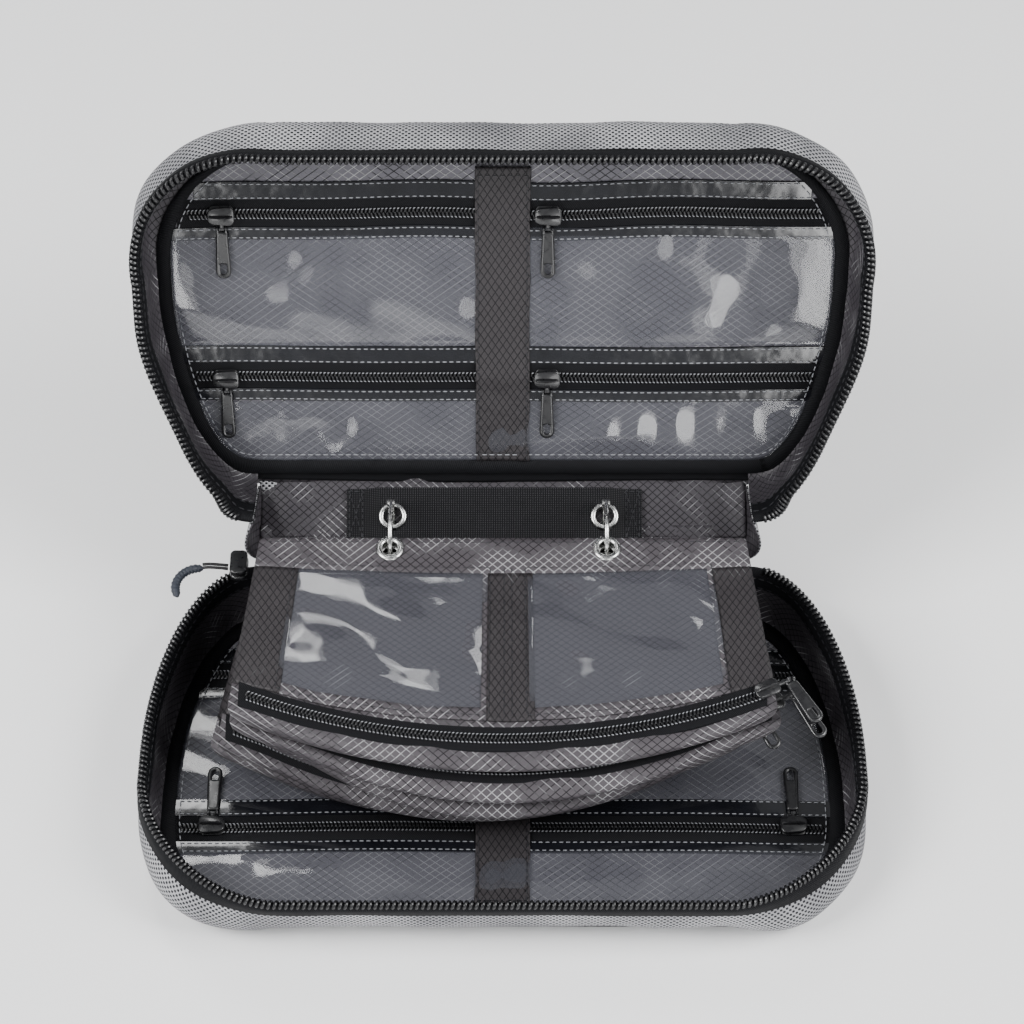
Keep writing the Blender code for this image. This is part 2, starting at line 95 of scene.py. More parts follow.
PAGE_BACK = 0.0042               # back edge behind the holes
PAGE_SIDE = 0.064
PAGE_MIDDLE = 0.0825
PAGE_HALF_BACK = 0.082
PAGE_HALF_FRONT = (0.090, 0.091, 0.080, 0.088, 0.087)
PAGE_LEAN = (0.0, 0.001, -0.002, -0.008, -0.012)
PAGE_PUSH = (0.0, 0.0055, 0.0065, 0.0045, 0.002)    # soft fronts that bow further forward
PAGE_ZIP_IN = 0.010
PAGE_ZIP_LIFT = 0.0025           # underside of a pouch's zip above its middle plane
PAGE_SLIDERS = 3
COIL_PITCH = 0.0013              # pocket zips
RIM_PITCH = 0.0019               # main zip
OUTLINE_POINTS = 420             # round one half's wall
UP = (0, 0, 1)

# ---------------------------------------------------------------- places
joints = {joint["name"]: joint for joint in frame["joints"]}
FOLD = Vector(joints["spine_fold"]["pos_m"])
LID_FOLD = Vector(joints["lid_fold"]["pos_m"])
RING_CENTRE = Vector(joints["ring_turn"]["pos_m"])
SPINE_RISE = LID_FOLD - FOLD
UPPER_SPINE = SPINE_RISE.length
SPINE_TILT = math.atan2(SPINE_RISE.z, SPINE_RISE.y)


def turn_x(angle):
    return Matrix.Rotation(angle, 4, "X")


SPINE_FRAME = Matrix.Translation(FOLD) @ turn_x(SPINE_TILT)
LID_FRAME = Matrix.Translation(LID_FOLD) @ turn_x(LID_TILT) @ Matrix.Translation((0, 0, -WALL / 2))
BASE_FRAME = Matrix.Translation((0, FOLD.y, 0)) @ Matrix.Rotation(math.pi, 4, "Z")
ROW_FRAME = Matrix.Identity(4)


def page_frame(number):
    angle = PAGE_FIRST - number * PAGE_STEP
    place = RING_CENTRE + RING_RADIUS * Vector((0, -math.cos(angle), math.sin(angle)))
    return Matrix.Translation(place) @ turn_x(number * PAGE_FAN + PAGE_SLOPE)


def to_row(points, place):
    """Points of a local frame, in the row frame."""
    turn = np.array(place.to_3x3())
    return np.asarray(points, float).reshape(-1, 3) @ turn.T + np.array(place.to_translation())


def draw_in(points):
    """The open lid's walls lean in a little beside the spine, most at the rim."""
    points = np.array(points, float).reshape(-1, 3)
    x, y, z = points.T
    near = smooth_step(-0.001, 0.010, y) * (1 - smooth_step(0.028, 0.070, y))
    points[:, 0] -= np.sign(x) * 0.005 * near * np.clip(z / RIM, 0, 1)
    return points


def smooth_step(low, high, value):
    share = np.clip((np.asarray(value, float) - low) / (high - low), 0, 1)
    return share * share * (3 - 2 * share)


def ripple(x, y, size, seed, waves=6):
    """Smooth unevenness of about -1 to 1, with folds about size across."""
    draw = np.random.RandomState(seed)
    total = 0.0
    for _ in range(waves):
        turn, phase = draw.uniform(0, 2 * math.pi, 2)
        length = size * draw.uniform(0.6, 1.7)
        total = total + np.sin((x * math.cos(turn) + y * math.sin(turn)) * 2 * math.pi / length + phase)
    return total / math.sqrt(waves)


# ---------------------------------------------------------------- finishes
class Finish:
    """A material, with short ways to add nodes to it."""

    def __init__(self, name, colour, roughness, **constants):
        self.material = bpy.data.materials.new(name)
        self.material.use_nodes = True
        self.tree = self.material.node_tree
        self.shader = self.tree.nodes["Principled BSDF"]
        self.shader.inputs["Base Color"].default_value = (*colour, 1)
        self.shader.inputs["Roughness"].default_value = roughness
        for socket, value in constants.items():
            self.shader.inputs[socket.replace("_", " ")].default_value = value

    def node(self, kind, values=(), **settings):
        made = self.tree.nodes.new("ShaderNode" + kind)
        for key, value in settings.items():
            setattr(made, key, value)
        for socket, value in dict(values).items() if isinstance(values, dict) else enumerate(values):
            self.feed(made.inputs[socket], value)
        return made

    def feed(self, socket, value):
        if isinstance(value, bpy.types.NodeSocket):
            self.tree.links.new(value, socket)
        else:
            socket.default_value = value

    def maths(self, operation, *values):
        return self.node("Math", values, operation=operation).outputs[0]

    def step(self, value, low, high, start=0.0, end=1.0):
        made = self.node("MapRange", (value, low, high, start, end), interpolation_type="SMOOTHSTEP")
        return made.outputs[0]

    def mix(self, share, first, second):
        made = self.node("Mix", {0: share, 6: first, 7: second}, data_type="RGBA")
        return made.outputs[2]

    def along(self, vector, direction):
        """Distance along a direction."""
        return self.node("VectorMath", (vector, direction), operation="DOT_PRODUCT").outputs["Value"]

    def cloth(self):
        return self.node("UVMap", uv_map="cloth").outputs[0]

    def place(self):
        return self.node("TexCoord").outputs["Object"]

    def noise(self, vector, scale, detail=2.0):
        return self.node("TexNoise", {"Vector": vector, "Scale": scale, "Detail": detail}).outputs[0]

    def colour(self, value):
        self.feed(self.shader.inputs["Base Color"], value)

    def roughness(self, value):
        self.feed(self.shader.inputs["Roughness"], value)

    def bump(self, height, distance, strength=1.0):
        made = self.node("Bump", {"Strength": strength, "Distance": distance, "Height": height})
        self.feed(self.shader.inputs["Normal"], made.outputs[0])


def rgba(*colour):
    return (*colour, 1)


def shade(colour, share):
    """A colour made darker or lighter."""
    return rgba(*[c * share for c in colour])


def weave_finish():
    """Basket weave of pale yarn with dark crossings."""
    f = Finish("outer_weave", (0.5, 0.5, 0.51), 0.75, Specular_IOR_Level=0.2)
    yarn = 0.00102
    cloth = f.cloth()
    warp = f.maths("SINE", f.maths("MULTIPLY", f.along(cloth, (1, 0, 0)), math.pi / yarn))
    weft = f.maths("SINE", f.maths("MULTIPLY", f.along(cloth, (0, 1, 0)), math.pi / yarn))
    crossing = f.maths("MULTIPLY", warp, weft)
    dots = f.step(crossing, -0.02, 0.34)
    tone = f.noise(cloth, 26, 3)
    pale = f.mix(f.step(tone, 0.3, 0.7), rgba(0.20, 0.20, 0.213), rgba(0.44, 0.44, 0.455))
    fibre = f.step(f.noise(cloth, 2600, 1), 0.3, 0.7)
    pale = f.mix(f.maths("MULTIPLY", fibre, 0.25), pale, rgba(0.30, 0.30, 0.31))
    f.colour(f.mix(dots, pale, rgba(0.012, 0.012, 0.015)))
    f.bump(f.maths("ABSOLUTE", crossing), 0.00035, 0.8)
    return f.material


def ripstop_finish(name, angles, base, sheen_share, pitch=0.0021):
    """Plain weave with a grid of heavier threads, painted pale in some patches as a painted sheen and dark in
    the others as painted shade, for how the light takes them.
    """
    f = Finish(name, base, 0.5, Specular_IOR_Level=0.25)
    cloth = f.cloth()
    colour = f.mix(f.noise(cloth, 60, 3), shade(base, 0.88), shade(base, 1.14))
    relief = None
    for i, angle in enumerate(angles):
        across = (math.cos(angle) / pitch, math.sin(angle) / pitch, 0)
        thread = f.step(f.maths("PINGPONG", f.along(cloth, across), 0.5), 0.040, 0.085, 1.0, 0.0)
        patch = f.noise(cloth, 42 + 9 * i, 1)
        middle = 0.62 - 0.24 * sheen_share
        # painted sheen and painted shade: each noise patch paints the heavier threads pale or dark for how
        # the light would take them
        line = f.mix(f.step(patch, middle - 0.07, middle + 0.07), rgba(0.002, 0.002, 0.003),
                     rgba(0.33, 0.33, 0.34))
        colour = f.mix(f.maths("MULTIPLY", thread, 0.95), colour, line)
        relief = thread if relief is None else f.maths("MAXIMUM", relief, thread)
    f.colour(colour)
    fine = f.noise(cloth, 1500, 1)
    crumple = f.noise(cloth, 160, 3)
    height = f.maths("ADD", f.maths("MULTIPLY", relief, 0.5), f.maths("MULTIPLY", crumple, 2.2))
    f.bump(f.maths("ADD", height, f.maths("MULTIPLY", fine, 0.15)), 0.00030, 0.9)
    return f.material


def clear_finish():
    """Clear flexible sheet."""
    f = Finish("clear_sheet", (0.085, 0.088, 0.105), 0.06, Alpha=0.28, IOR=1.6, Coat_Weight=1.0,
               Coat_Roughness=0.02, Specular_IOR_Level=0.8)
    cloth = f.cloth()
    f.roughness(f.step(f.noise(cloth, 90, 3), 0.2, 0.8, 0.03, 0.10))
    f.bump(f.noise(cloth, 40, 1), 0.0022, 0.6)
    return f.material


def backed_clear_finish():
    """Clear strip lying over dark tape."""
    f = Finish("backed_clear", (0.012, 0.014, 0.020), 0.16, Coat_Weight=0.7, Coat_Roughness=0.05)
    cloth = f.cloth()
    f.colour(f.mix(f.noise(cloth, 120, 3), rgba(0.002, 0.0022, 0.003), rgba(0.010, 0.0105, 0.014)))
    f.bump(f.noise(cloth, 110, 2), 0.0006, 0.5)
    return f.material


def tape_finish():
    """Twill tape."""
    tint = (0.0042, 0.0043, 0.0052)
    f = Finish("black_tape", tint, 0.66, Specular_IOR_Level=0.12)
    cloth = f.cloth()
    twill = f.maths("SINE", f.along(cloth, (2 * math.pi / 0.0007, 2 * math.pi / 0.0009, 0)))
    ribs = f.step(twill, -0.6, 0.8)
    # the raised twill ribs are painted lighter as well as bumped: a painted highlight on the rib tops
    f.colour(f.mix(ribs, shade(tint, 0.55), shade(tint, 2.3)))
    f.bump(f.maths("ADD", ribs, f.noise(cloth, 300, 2)), 0.00016, 0.8)
    return f.material


def webbing_finish():
    """Ribbed webbing: its ribs run across it."""
    f = Finish("webbing", (0.012, 0.012, 0.014), 0.6, Specular_IOR_Level=0.15)
    place = f.place()
    rib = f.step(f.maths("SINE", f.along(place, (2 * math.pi / 0.00078, 0, 0))), 0.0, 0.9)
    pick = f.step(f.maths("SINE", f.along(place, (0, 2 * math.pi / 0.0007, 2 * math.pi / 0.0014))), -0.4, 0.9)
    # where rib and pick stand highest the colour is painted lighter as well as bumped: a painted highlight on
    # the rib tops
    f.colour(f.mix(f.maths("MULTIPLY", rib, pick), rgba(0.001, 0.001, 0.002), rgba(0.062, 0.062, 0.066)))
    f.bump(f.maths("MULTIPLY", rib, pick), 0.0002, 0.9)
    return f.material


def moulded_finish(name, colour, low, high, coat=0.0):
    """Moulded or painted surface, a little uneven in gloss."""
    f = Finish(name, colour, (low + high) / 2, Coat_Weight=coat, Coat_Roughness=0.12)
    place = f.place()
    patch = f.noise(place, 400, 3)
    f.roughness(f.step(patch, 0.25, 0.75, low, high))
    f.colour(f.mix(patch, shade(colour, 0.7), shade(colour, 1.4)))
    f.bump(f.noise(place, 1600, 2), 0.00006, 0.5)
    return f.material


def paint_finish():
    """Black painted zinc, worn brighter on its edges."""
    f = Finish("black_metal", (0.008, 0.008, 0.009), 0.32, Coat_Weight=0.35, Coat_Roughness=0.14)
    place = f.place()
    edge = f.step(f.node("NewGeometry").outputs["Pointiness"], 0.56, 0.66)
    worn = f.maths("MULTIPLY", edge, f.step(f.noise(place, 900, 3), 0.4, 0.65))
    f.colour(f.mix(worn, rgba(0.006, 0.006, 0.007), rgba(0.05, 0.05, 0.053)))
    f.roughness(f.step(f.noise(place, 500, 3), 0.3, 0.7, 0.24, 0.42))
    return f.material


def nickel_finish(name, tone):
    """Satin nickel with fine rubbing marks."""
    f = Finish(name, (tone, tone, tone), 0.24, Metallic=1.0)
    place = f.place()
    f.roughness(f.step(f.noise(place, 700, 4), 0.3, 0.7, 0.17, 0.33))
    f.colour(f.mix(f.noise(place, 250, 2), rgba(tone * 0.85, tone * 0.85, tone * 0.83),
                   rgba(tone * 1.15, tone * 1.15, tone * 1.14)))
    f.bump(f.noise(place, 2500, 2), 0.00002, 0.5)
    return f.material


def thread_finish(name, colour):
    f = Finish(name, colour, 0.45)
    twist = f.noise(f.place(), 2200, 1)
    f.colour(f.mix(twist, shade(colour, 0.6), shade(colour, 1.5)))
    return f.material


DIAMOND = (math.radians(48), math.radians(-48))
SHALLOW = (math.radians(54), math.radians(-54))
STEEP = (math.radians(33), math.radians(-33))
weave = weave_finish()
lining = ripstop_finish("lining_ripstop", DIAMOND, (0.044, 0.040, 0.046), 0.1)
pocket_cloth = ripstop_finish("pocket_ripstop", SHALLOW, (0.108, 0.104, 0.120), 0.6, 0.0022)
strip_cloth = ripstop_finish("strip_ripstop", STEEP, (0.026, 0.023, 0.025), -0.4, 0.0021)
pouch_cloth = ripstop_finish("pouch_ripstop", DIAMOND, (0.058, 0.052, 0.058), 0.42, 0.0023)
window_cloth = ripstop_finish("window_ripstop", SHALLOW, (0.060, 0.056, 0.066), -0.3, 0.0019)
clear = clear_finish()
backed_clear = backed_clear_finish()
tape = tape_finish()
webbing_weave = webbing_finish()
coil_nylon = moulded_finish("zip_coil", (0.004, 0.004, 0.005), 0.28, 0.42, 0.1)
paint = paint_finish()
nickel = nickel_finish("nickel", 0.52)
# a darker copy of the nickel: painted shade for the eyelets that lie under the top pouch
shaded_nickel = nickel_finish("shaded_nickel", 0.10)
grip_rubber = moulded_finish("puller_grip", (0.016, 0.020, 0.030), 0.38, 0.6)
cord_finish = moulded_finish("puller_cord", (0.006, 0.006, 0.007), 0.5, 0.7)
grey_thread = thread_finish("grey_thread", (0.21, 0.215, 0.23))
dark_thread = thread_finish("dark_thread", (0.012, 0.012, 0.015))


# ---------------------------------------------------------------- shapes
def grid_faces(rows, columns, wrap=False, keep=None):
    """Quads of a grid of points, row by row. keep says which quads stay."""
    faces = []
    for i in range(rows - 1):
        for j in range(columns if wrap else columns - 1):
            if keep is None or keep[i, j]:
                k = (j + 1) % columns
                faces.append((i * columns + j, i * columns + k,
                              (i + 1) * columns + k, (i + 1) * columns + j))
    return faces


def ring_faces(count, sides):
    """Quads of closed rings, the last of them joined to the first."""
    last = (count - 1) * sides
    return grid_faces(count, sides, True) + [(last + j, last + (j + 1) % sides, (j + 1) % sides, j)
                                             for j in range(sides)]


def capped_faces(count, sides):
    """Quads of closed rings, with a cap on the first and on the last."""
    caps = [tuple(range(sides)), tuple(range((count - 1) * sides, count * sides))]
    return grid_faces(count, sides, True) + caps


def run_lengths(path):
    """Distances along a path, from its first point."""
    return np.concatenate([[0], np.cumsum(np.linalg.norm(np.diff(path, axis=0), axis=1))])


def eased(loop, times):
    """A closed path with its corners smoothed."""
    for _ in range(times):
        loop = (np.roll(loop, 1, 0) + 2 * loop + np.roll(loop, -1, 0)) / 4
    return loop


class Shape:
    """The points, faces and cloth coordinates of one piece, gathered part by part."""

    def __init__(self):
        self.points, self.faces, self.coordinates, self.count = [], [], [], 0

    def add(self, points, faces, cloth=None):
        points = np.asarray(points, float).reshape(-1, 3)
        cloth = points[:, :2] if cloth is None else np.asarray(cloth, float).reshape(-1, 2)
        self.points.append(points)
        self.coordinates.append(cloth)
        self.faces += [tuple(i + self.count for i in face) for face in faces]
        self.count += len(points)
        return self

    def grid(self, grid, cloth=None, wrap=False, keep=None):
        grid = np.asarray(grid, float)
        return self.add(grid, grid_faces(*grid.shape[:2], wrap, keep), cloth)

    def loft(self, rings, cloth=None):
        """Closed rings of points, with both ends capped."""
        rings = np.asarray(rings, float)
        return self.add(rings, capped_faces(*rings.shape[:2]), cloth)

    def lathe(self, profile, place, steps=36):
        """A closed (radius, height) profile turned about the frame's z axis."""
        turns = np.arange(steps) * 2 * math.pi / steps
        rings = np.array([[(r * math.cos(a), r * math.sin(a), z) for r, z in profile] for a in turns])
        return self.add(to_row(rings, place), ring_faces(*rings.shape[:2]))

    def tube(self, path, radius, sides=8, up=UP, flat=1.0):
        """A round or flattened tube along a path."""
        path = np.asarray(path, float)
        along = np.gradient(path, axis=0)
        along /= np.linalg.norm(along, axis=1)[:, None]
        side = np.cross(along, np.broadcast_to(np.asarray(up, float), path.shape))
        side /= np.linalg.norm(side, axis=1)[:, None]
        top = np.cross(side, along)
        turns = np.arange(sides) * 2 * math.pi / sides
        radius = np.broadcast_to(np.asarray(radius, float), len(path))[:, None, None]
        rings = path[:, None] + radius * (np.cos(turns)[None, :, None] * side[:, None]
                                          + flat * np.sin(turns)[None, :, None] * top[:, None])
        return self.loft(rings)

    def scatter(self, template, places, along):
        """Copies of a small shape, its x turned along the path and its z turned up."""
        points, faces = template
        along = along / np.linalg.norm(along, axis=1)[:, None]
        side = np.cross(np.broadcast_to(np.asarray(UP, float), along.shape), along)
        side /= np.linalg.norm(side, axis=1)[:, None]
        top = np.cross(along, side)
        turned = (points[None, :, 0, None] * along[:, None] + points[None, :, 1, None] * side[:, None]
                  + points[None, :, 2, None] * top[:, None])
        size = len(points)
        all_faces = [tuple(v + i * size for v in face) for i in range(len(places)) for face in faces]
        return self.add(places[:, None] + turned, all_faces)

    def piece(self, name, finish, slot, place=ROW_FRAME, thickness=0.0, bend=None):
        """Make the object. bend, if any, reshapes the points in their own frame first."""
        points = np.concatenate(self.points)
        coordinates = np.concatenate(self.coordinates)
        used = np.unique([i for face in self.faces for i in face])
        renumber = np.zeros(len(points), int)
        renumber[used] = np.arange(len(used))
        points, coordinates = points[used], coordinates[used]
        faces = [tuple(renumber[list(face)]) for face in self.faces]
        if bend is not None:
            points = bend(points)
        mesh = bpy.data.meshes.new(name)
        mesh.from_pydata(to_row(points, place).tolist(), [], faces)
        layer = mesh.uv_layers.new(name="cloth")
        corners = np.zeros(len(mesh.loops), int)
        mesh.loops.foreach_get("vertex_index", corners)
        layer.data.foreach_set("uv", coordinates[corners].astype(np.float32).ravel())
        mesh.materials.append(finish)
        work = bmesh.new()
        work.from_mesh(mesh)
        bmesh.ops.recalc_face_normals(work, faces=work.faces)
        work.to_mesh(mesh)
        work.free()
        mesh.shade_smooth()
        mesh.set_sharp_from_angle(angle=math.radians(50))
        obj = bpy.data.objects.new(name, mesh)
        bpy.context.scene.collection.objects.link(obj)
        if thickness:
            solid = obj.modifiers.new("thickness", "SOLIDIFY")
            solid.thickness = thickness
            solid.offset = 0.0
        return obj


def capsule(length, radius, height=None, sides=6):
    """A small rounded bar along x, as a template for scatter."""
    height = radius if height is None else height
    half = length / 2
    stations = ((-half, 0.15), (-half * 0.8, 0.75), (-half * 0.4, 1.0), (half * 0.4, 1.0),
                (half * 0.8, 0.75), (half, 0.15))
    turns = np.arange(sides) * 2 * math.pi / sides
    rings = [[(x, radius * share * math.cos(a), height * share * math.sin(a)) for a in turns]
             for x, share in stations]
    return np.array(rings).reshape(-1, 3), capped_faces(len(stations), sides)


def evenly(path, spacing, closed=False):
    """Points spaced evenly along a path, with their directions."""
    path = np.asarray(path, float)
    if closed:
        path = np.vstack([path, path[:1]])
    lengths = run_lengths(path)
    count = max(int(lengths[-1] / spacing), 2)

    def places(at):
        return np.stack([np.interp(at, lengths, path[:, k]) for k in range(path.shape[1])], 1)

    at = (np.arange(count) + 0.5) * lengths[-1] / count
    return places(at), places(at + spacing * 0.3) - places(at - spacing * 0.3)


def stitches(shape, path, spacing, length, radius, closed=False):
    """A row of sewn stitches along a path."""
    shape.scatter(capsule(length, radius), *evenly(path, spacing, closed))


# ---------------------------------------------------------------- outline of one half
def make_outline(count):
    """Places, outward normals and distances along one half's wall, spine end to spine end."""
    across, reach = (WIDTH - SPINE_LENGTH) / 2, CORNER_DEPTH + WALL / 2
    turns = np.linspace(0, math.pi / 2, 90)
    corner = np.stack([SPINE_LENGTH / 2 + across * np.sin(turns), CORNER_DEPTH - reach * np.cos(turns)], 1)
    corner_normal = np.stack([reach * np.sin(turns), -across * np.cos(turns)], 1)
    far_normal = np.stack([np.cos(turns), np.sin(turns)], 1)
    far = np.array([WIDTH / 2 - FAR_RADIUS, DEPTH - FAR_RADIUS]) + FAR_RADIUS * far_normal
    right, normal = np.vstack([corner, far]), np.vstack([corner_normal, far_normal])
    mirror = np.array([-1, 1])
    places = np.vstack([right, right[::-1] * mirror])
    normals = np.vstack([normal, normal[::-1] * mirror])
    lengths = run_lengths(places)
    at = np.linspace(0, lengths[-1], count)
    places = np.stack([np.interp(at, lengths, places[:, k]) for k in range(2)], 1)
    normals = np.stack([np.interp(at, lengths, normals[:, k]) for k in range(2)], 1)
    return places, normals / np.linalg.norm(normals, axis=1)[:, None], at


def wall_point(outline, inset, height):
    """Points over the outline, an inset and a height given for each."""
    places, normals, _ = outline
    inset = np.broadcast_to(np.asarray(inset, float), len(places))
    height = np.broadcast_to(np.asarray(height, float), len(places))
    return np.column_stack([places - inset[:, None] * normals, height])


side_places, side_normals, _ = make_outline(2000)
right_side = slice(0, 1000)


def half_width(y, inset):
    """Half the outline's width at a distance from the spine."""
    edge = (side_places - inset * side_normals)[right_side]
    order = np.argsort(edge[:, 1])
    return np.interp(y, edge[order, 1], edge[order, 0])


def edge_loop(inset_side, inset_far, inset_spine, count=260):
    """A closed path inside the outline, spine side included, as (x, y) points."""
    low, high = inset_spine - WALL / 2, DEPTH - inset_far
    ys = low + (high - low) * (1 - np.cos(np.linspace(0, math.pi, count))) / 2
    far_share = smooth_step(DEPTH - FAR_RADIUS, DEPTH, ys)
    inset = inset_side + (inset_far - inset_side) * far_share
    xs = np.array([half_width(y, i) for y, i in zip(ys, inset)])
    right = np.column_stack([xs, ys])
    loop = np.vstack([right, right[::-1] * np.array([-1, 1])])
    return eased(evenly(loop, 0.0022, True)[0], 3)


# ---------------------------------------------------------------- soft walls of the halves
BACK_EDGE = 0.0062               # the back panel's rounded edge reaches this high
PROFILE = ((0.009, 0.0), (0.0072, 0.0003), (0.0058, 0.0009), (0.0042, 0.0019), (0.0030, 0.0030),
           (0.0019, 0.0045), (0.0011, 0.0065), (0.0005, 0.0088), (0.0002, 0.0110), (0.0, 0.0160),
           (0.0, 0.0220), (0.0, RIM))


def wall_inset(outline, height, lower):
    """How far in from the outline the outer face is, round the wall at one height."""
    places, normals, at = outline
    heights = [z for _, z in PROFILE]
    base = np.interp(height, heights, [inset for inset, _ in PROFILE])
    corner = np.clip(2 * np.abs(normals[:, 0]) * normals[:, 1], 0, 1)
    belly = math.sin(math.pi * min(height / RIM, 1.0))
    rise = min(height / RIM, 1.0)
    low_bulge = smooth_step(0, 0.005, height) * (1 - smooth_step(0.010, RIM, height))
    inset = base - corner * (0.0036 * belly if lower else 0.0055 * low_bulge)
    inset = inset + (0.0030 if lower else -0.0032) * corner * rise ** 2
    front = (1 - smooth_step(0.070, 0.104, np.abs(places[:, 0]))) * smooth_step(0.5, 0.98, normals[:, 1])
    if lower:
        inset = inset + 0.0036 * front * (1 - smooth_step(0.0035, 0.0180, height))
    else:
        swell = (1 - smooth_step(0.0050, RIM, height)) * smooth_step(0, 0.004, height)
        inset = inset - 0.0046 * front * swell
    folds = ripple(at, height * 0.6 + 0 * at, 0.034, 11 if lower else 23)
    return inset + 0.00045 * folds * belly


def cloth_rows(outline, distances):
    """Cloth coordinates of rows that follow the outline."""
    return np.array([np.column_stack([outline[2], np.full(len(outline[2]), d)]) for d in distances])


def covers(prefix, lower, place):
    """The weave outside and the lining inside one half."""
    body, bend = ("base", None) if lower else ("lid", draw_in)
    heights = np.concatenate([np.linspace(0.0035, RIM - 0.002, 16), [RIM - 0.0006]])
    outline = make_outline(OUTLINE_POINTS)
    grid = np.array([wall_point(outline, wall_inset(outline, z, lower) + 0.00045, z) for z in heights])
    wall = Shape().grid(grid, cloth_rows(outline, heights))
    wall = wall.piece(prefix + "_cover", weave, "outer_weave", place, 0.0008, bend)
    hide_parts(prefix + "_shell")
    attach(wall, body)

    profile = [(WALL - 0.0003, z) for z in np.linspace(RIM - 0.001, 0.0060, 10)]
    profile += [(0.0027, 0.0046), (0.0036, 0.0036), (0.0052, 0.0029), (0.0080, 0.0027),
                (0.0120, 0.0026), (0.0180, 0.0026)]
    grid = np.array([wall_point(outline, wall_inset(outline, max(z, 0.0060), lower) + extra, z)
                     for extra, z in profile])
    inner = Shape().grid(grid, cloth_rows(outline, run_lengths(profile)))
    inner.grid(panel_band(-0.0004, 0.022, 0.0040, 0.0014))
    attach(inner.piece(prefix + "_wall_lining", lining, "ripstop", place, 0.0004, bend), body)

    rim_tape(prefix, lower, place, body, bend)
    rim_coil(prefix, lower, place, body, bend)
    back_panel(prefix, lower, place, body)


def back_panel(prefix, lower, place, body):
    """The flat back and its rounded edge."""
    count = 300
    outline = make_outline(count)
    rings = [wall_point(outline, wall_inset(outline, height, lower), height)
             for _, height in PROFILE if height <= BACK_EDGE]
    rim = rings[0]
    centre = np.array([0.0, DEPTH / 2, 0.0])
    for share in (0.93, 0.85, 0.74, 0.62, 0.5, 0.37, 0.24, 0.12, 0.03):
        ring = centre + (rim - centre) * share
        if not lower:
            ring[:, 2] = 0.0003 * ripple(ring[:, 0], ring[:, 1], 0.05, 5) * (1 - share)
        rings.insert(0, ring)
    grid = np.array(rings)
    grid[..., 2] += 0.0004
    faces = grid_faces(len(grid), count) + grid_faces(10, count, True)[count - 1::count]
    faces.append(tuple(range(count)))
    shape = Shape().add(grid, faces, grid[..., :2])
    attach(shape.piece(prefix + "_back", weave, "outer_weave", place, 0.0008), body)


def rim_tape(prefix, lower, place, body, bend):
    """Zip tape: it shows as a line outside the rim and as a wide band inside it."""
    outline = make_outline(OUTLINE_POINTS)
    profile = ((-0.00025, -0.0036), (-0.0003, -0.0006), (0.0004, 0.0006), (0.0013, 0.0010),
               (0.0022, 0.0004), (0.0027, -0.0012), (0.0029, -0.0040), (0.0030, -0.0065),
               (0.0029, -0.0082))
    grid = [wall_point(outline, wall_inset(outline, min(RIM + rise, RIM), lower) + extra, RIM + rise)
            for extra, rise in profile]
    band = Shape().grid(grid, cloth_rows(outline, run_lengths(profile)))
    band = band.piece(prefix + "_rim_tape", tape, "black_tape", place, 0.0003, bend)
    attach(band, body)
    rows = Shape()
    for extra, rise in ((0.0031, -0.0022), (0.0032, -0.0072)):
        path = wall_point(outline, wall_inset(outline, RIM + rise, lower) + extra, RIM + rise)
        if bend:
            path = bend(path)
        stitches(rows, path, 0.0030, 0.0021, 0.00022)
    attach(rows.piece(prefix + "_rim_stitches", dark_thread, "black_tape", place), body)


def rim_coil(prefix, lower, place, body, bend):
    """Half of the main zip's nylon coil, as a helix round the rim."""
    fine = make_outline(6000)
    path = wall_point(fine, wall_inset(fine, RIM, lower) + 0.0013, RIM + 0.0008)
    length = fine[2][-1]
    clear = 0.004
    turns = int((length - 2 * clear) / RIM_PITCH)
    steps = 12
    angle = np.arange(turns * steps + 1) * 2 * math.pi / steps
    at = clear + np.arange(turns * steps + 1) * RIM_PITCH / steps
    centre = np.stack([np.interp(at, fine[2], path[:, k]) for k in range(3)], 1)
    normal = np.stack([np.interp(at, fine[2], fine[1][:, k]) for k in range(2)] + [0 * at], 1)
    ahead = np.gradient(centre, axis=0)
    points = centre + 0.00110 * np.cos(angle)[:, None] * normal
    points[:, 2] += 0.00090 * np.sin(angle)
    if bend:
        ahead = bend(centre + ahead) - bend(centre)
        points = bend(points)
    coil = Shape().tube(points, 0.00056, 6, up=ahead)
    piece = coil.piece(prefix + "_rim_coil", coil_nylon, "zip_coil", place)
    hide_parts(prefix + "_rim_zip")
    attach(piece, body)


def corner_gusset(prefix, side):
    """Cloth across the notch between the spine's end and the lid's wall, weave outside."""
    x = side * (SPINE_LENGTH / 2 - 0.0004)
    shape, lined = Shape(), Shape()
    reach = np.linspace(0.0015, RIM - 0.001, 16)
    turns = np.linspace(0, 1, 12)
    wedge = math.pi / 2 - (LID_TILT - SPINE_TILT)
    for target, offset in ((shape, 0.0), (lined, -side * 0.0006)):
        grid = []
        for share in turns:
            angle = LID_TILT + math.pi / 2 + share * wedge
            out = side * 0.0035 * math.sin(math.pi * share) * (reach / RIM)
            grid.append(np.column_stack([x + out + offset, LID_FOLD.y + reach * math.cos(angle),
                                         LID_FOLD.z + reach * math.sin(angle)]))
        target.grid(np.array(grid), np.array(grid)[..., 1:])
    for target, finish, name, slot in ((shape, weave, "gusset", "outer_weave"),
                                       (lined, lining, "gusset_lining", "ripstop")):
        piece = target.piece(f"{prefix}_{name}", finish, slot, thickness=0.0005)
        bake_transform(piece)


# ---------------------------------------------------------------- pocket panels
def sway(x, seed):
    """How far a sewn row wanders from its straight line."""
    return 0.0007 * ripple(x, 0 * x, 0.12, seed, 3)


def panel_band(y0, y1, inset, height, columns=120, rows=8, seed=0):
    """A stretch of the pocket panel, as a grid."""
    grid = []
    for y in np.linspace(y0, y1, rows):
        half = half_width(y, inset)
        x = np.linspace(-half, half, columns)
        yy = y + sway(x, seed)
        z = height(x, yy) if callable(height) else np.full(columns, height)
        grid.append(np.column_stack([x, yy, z]))
    return np.array(grid)


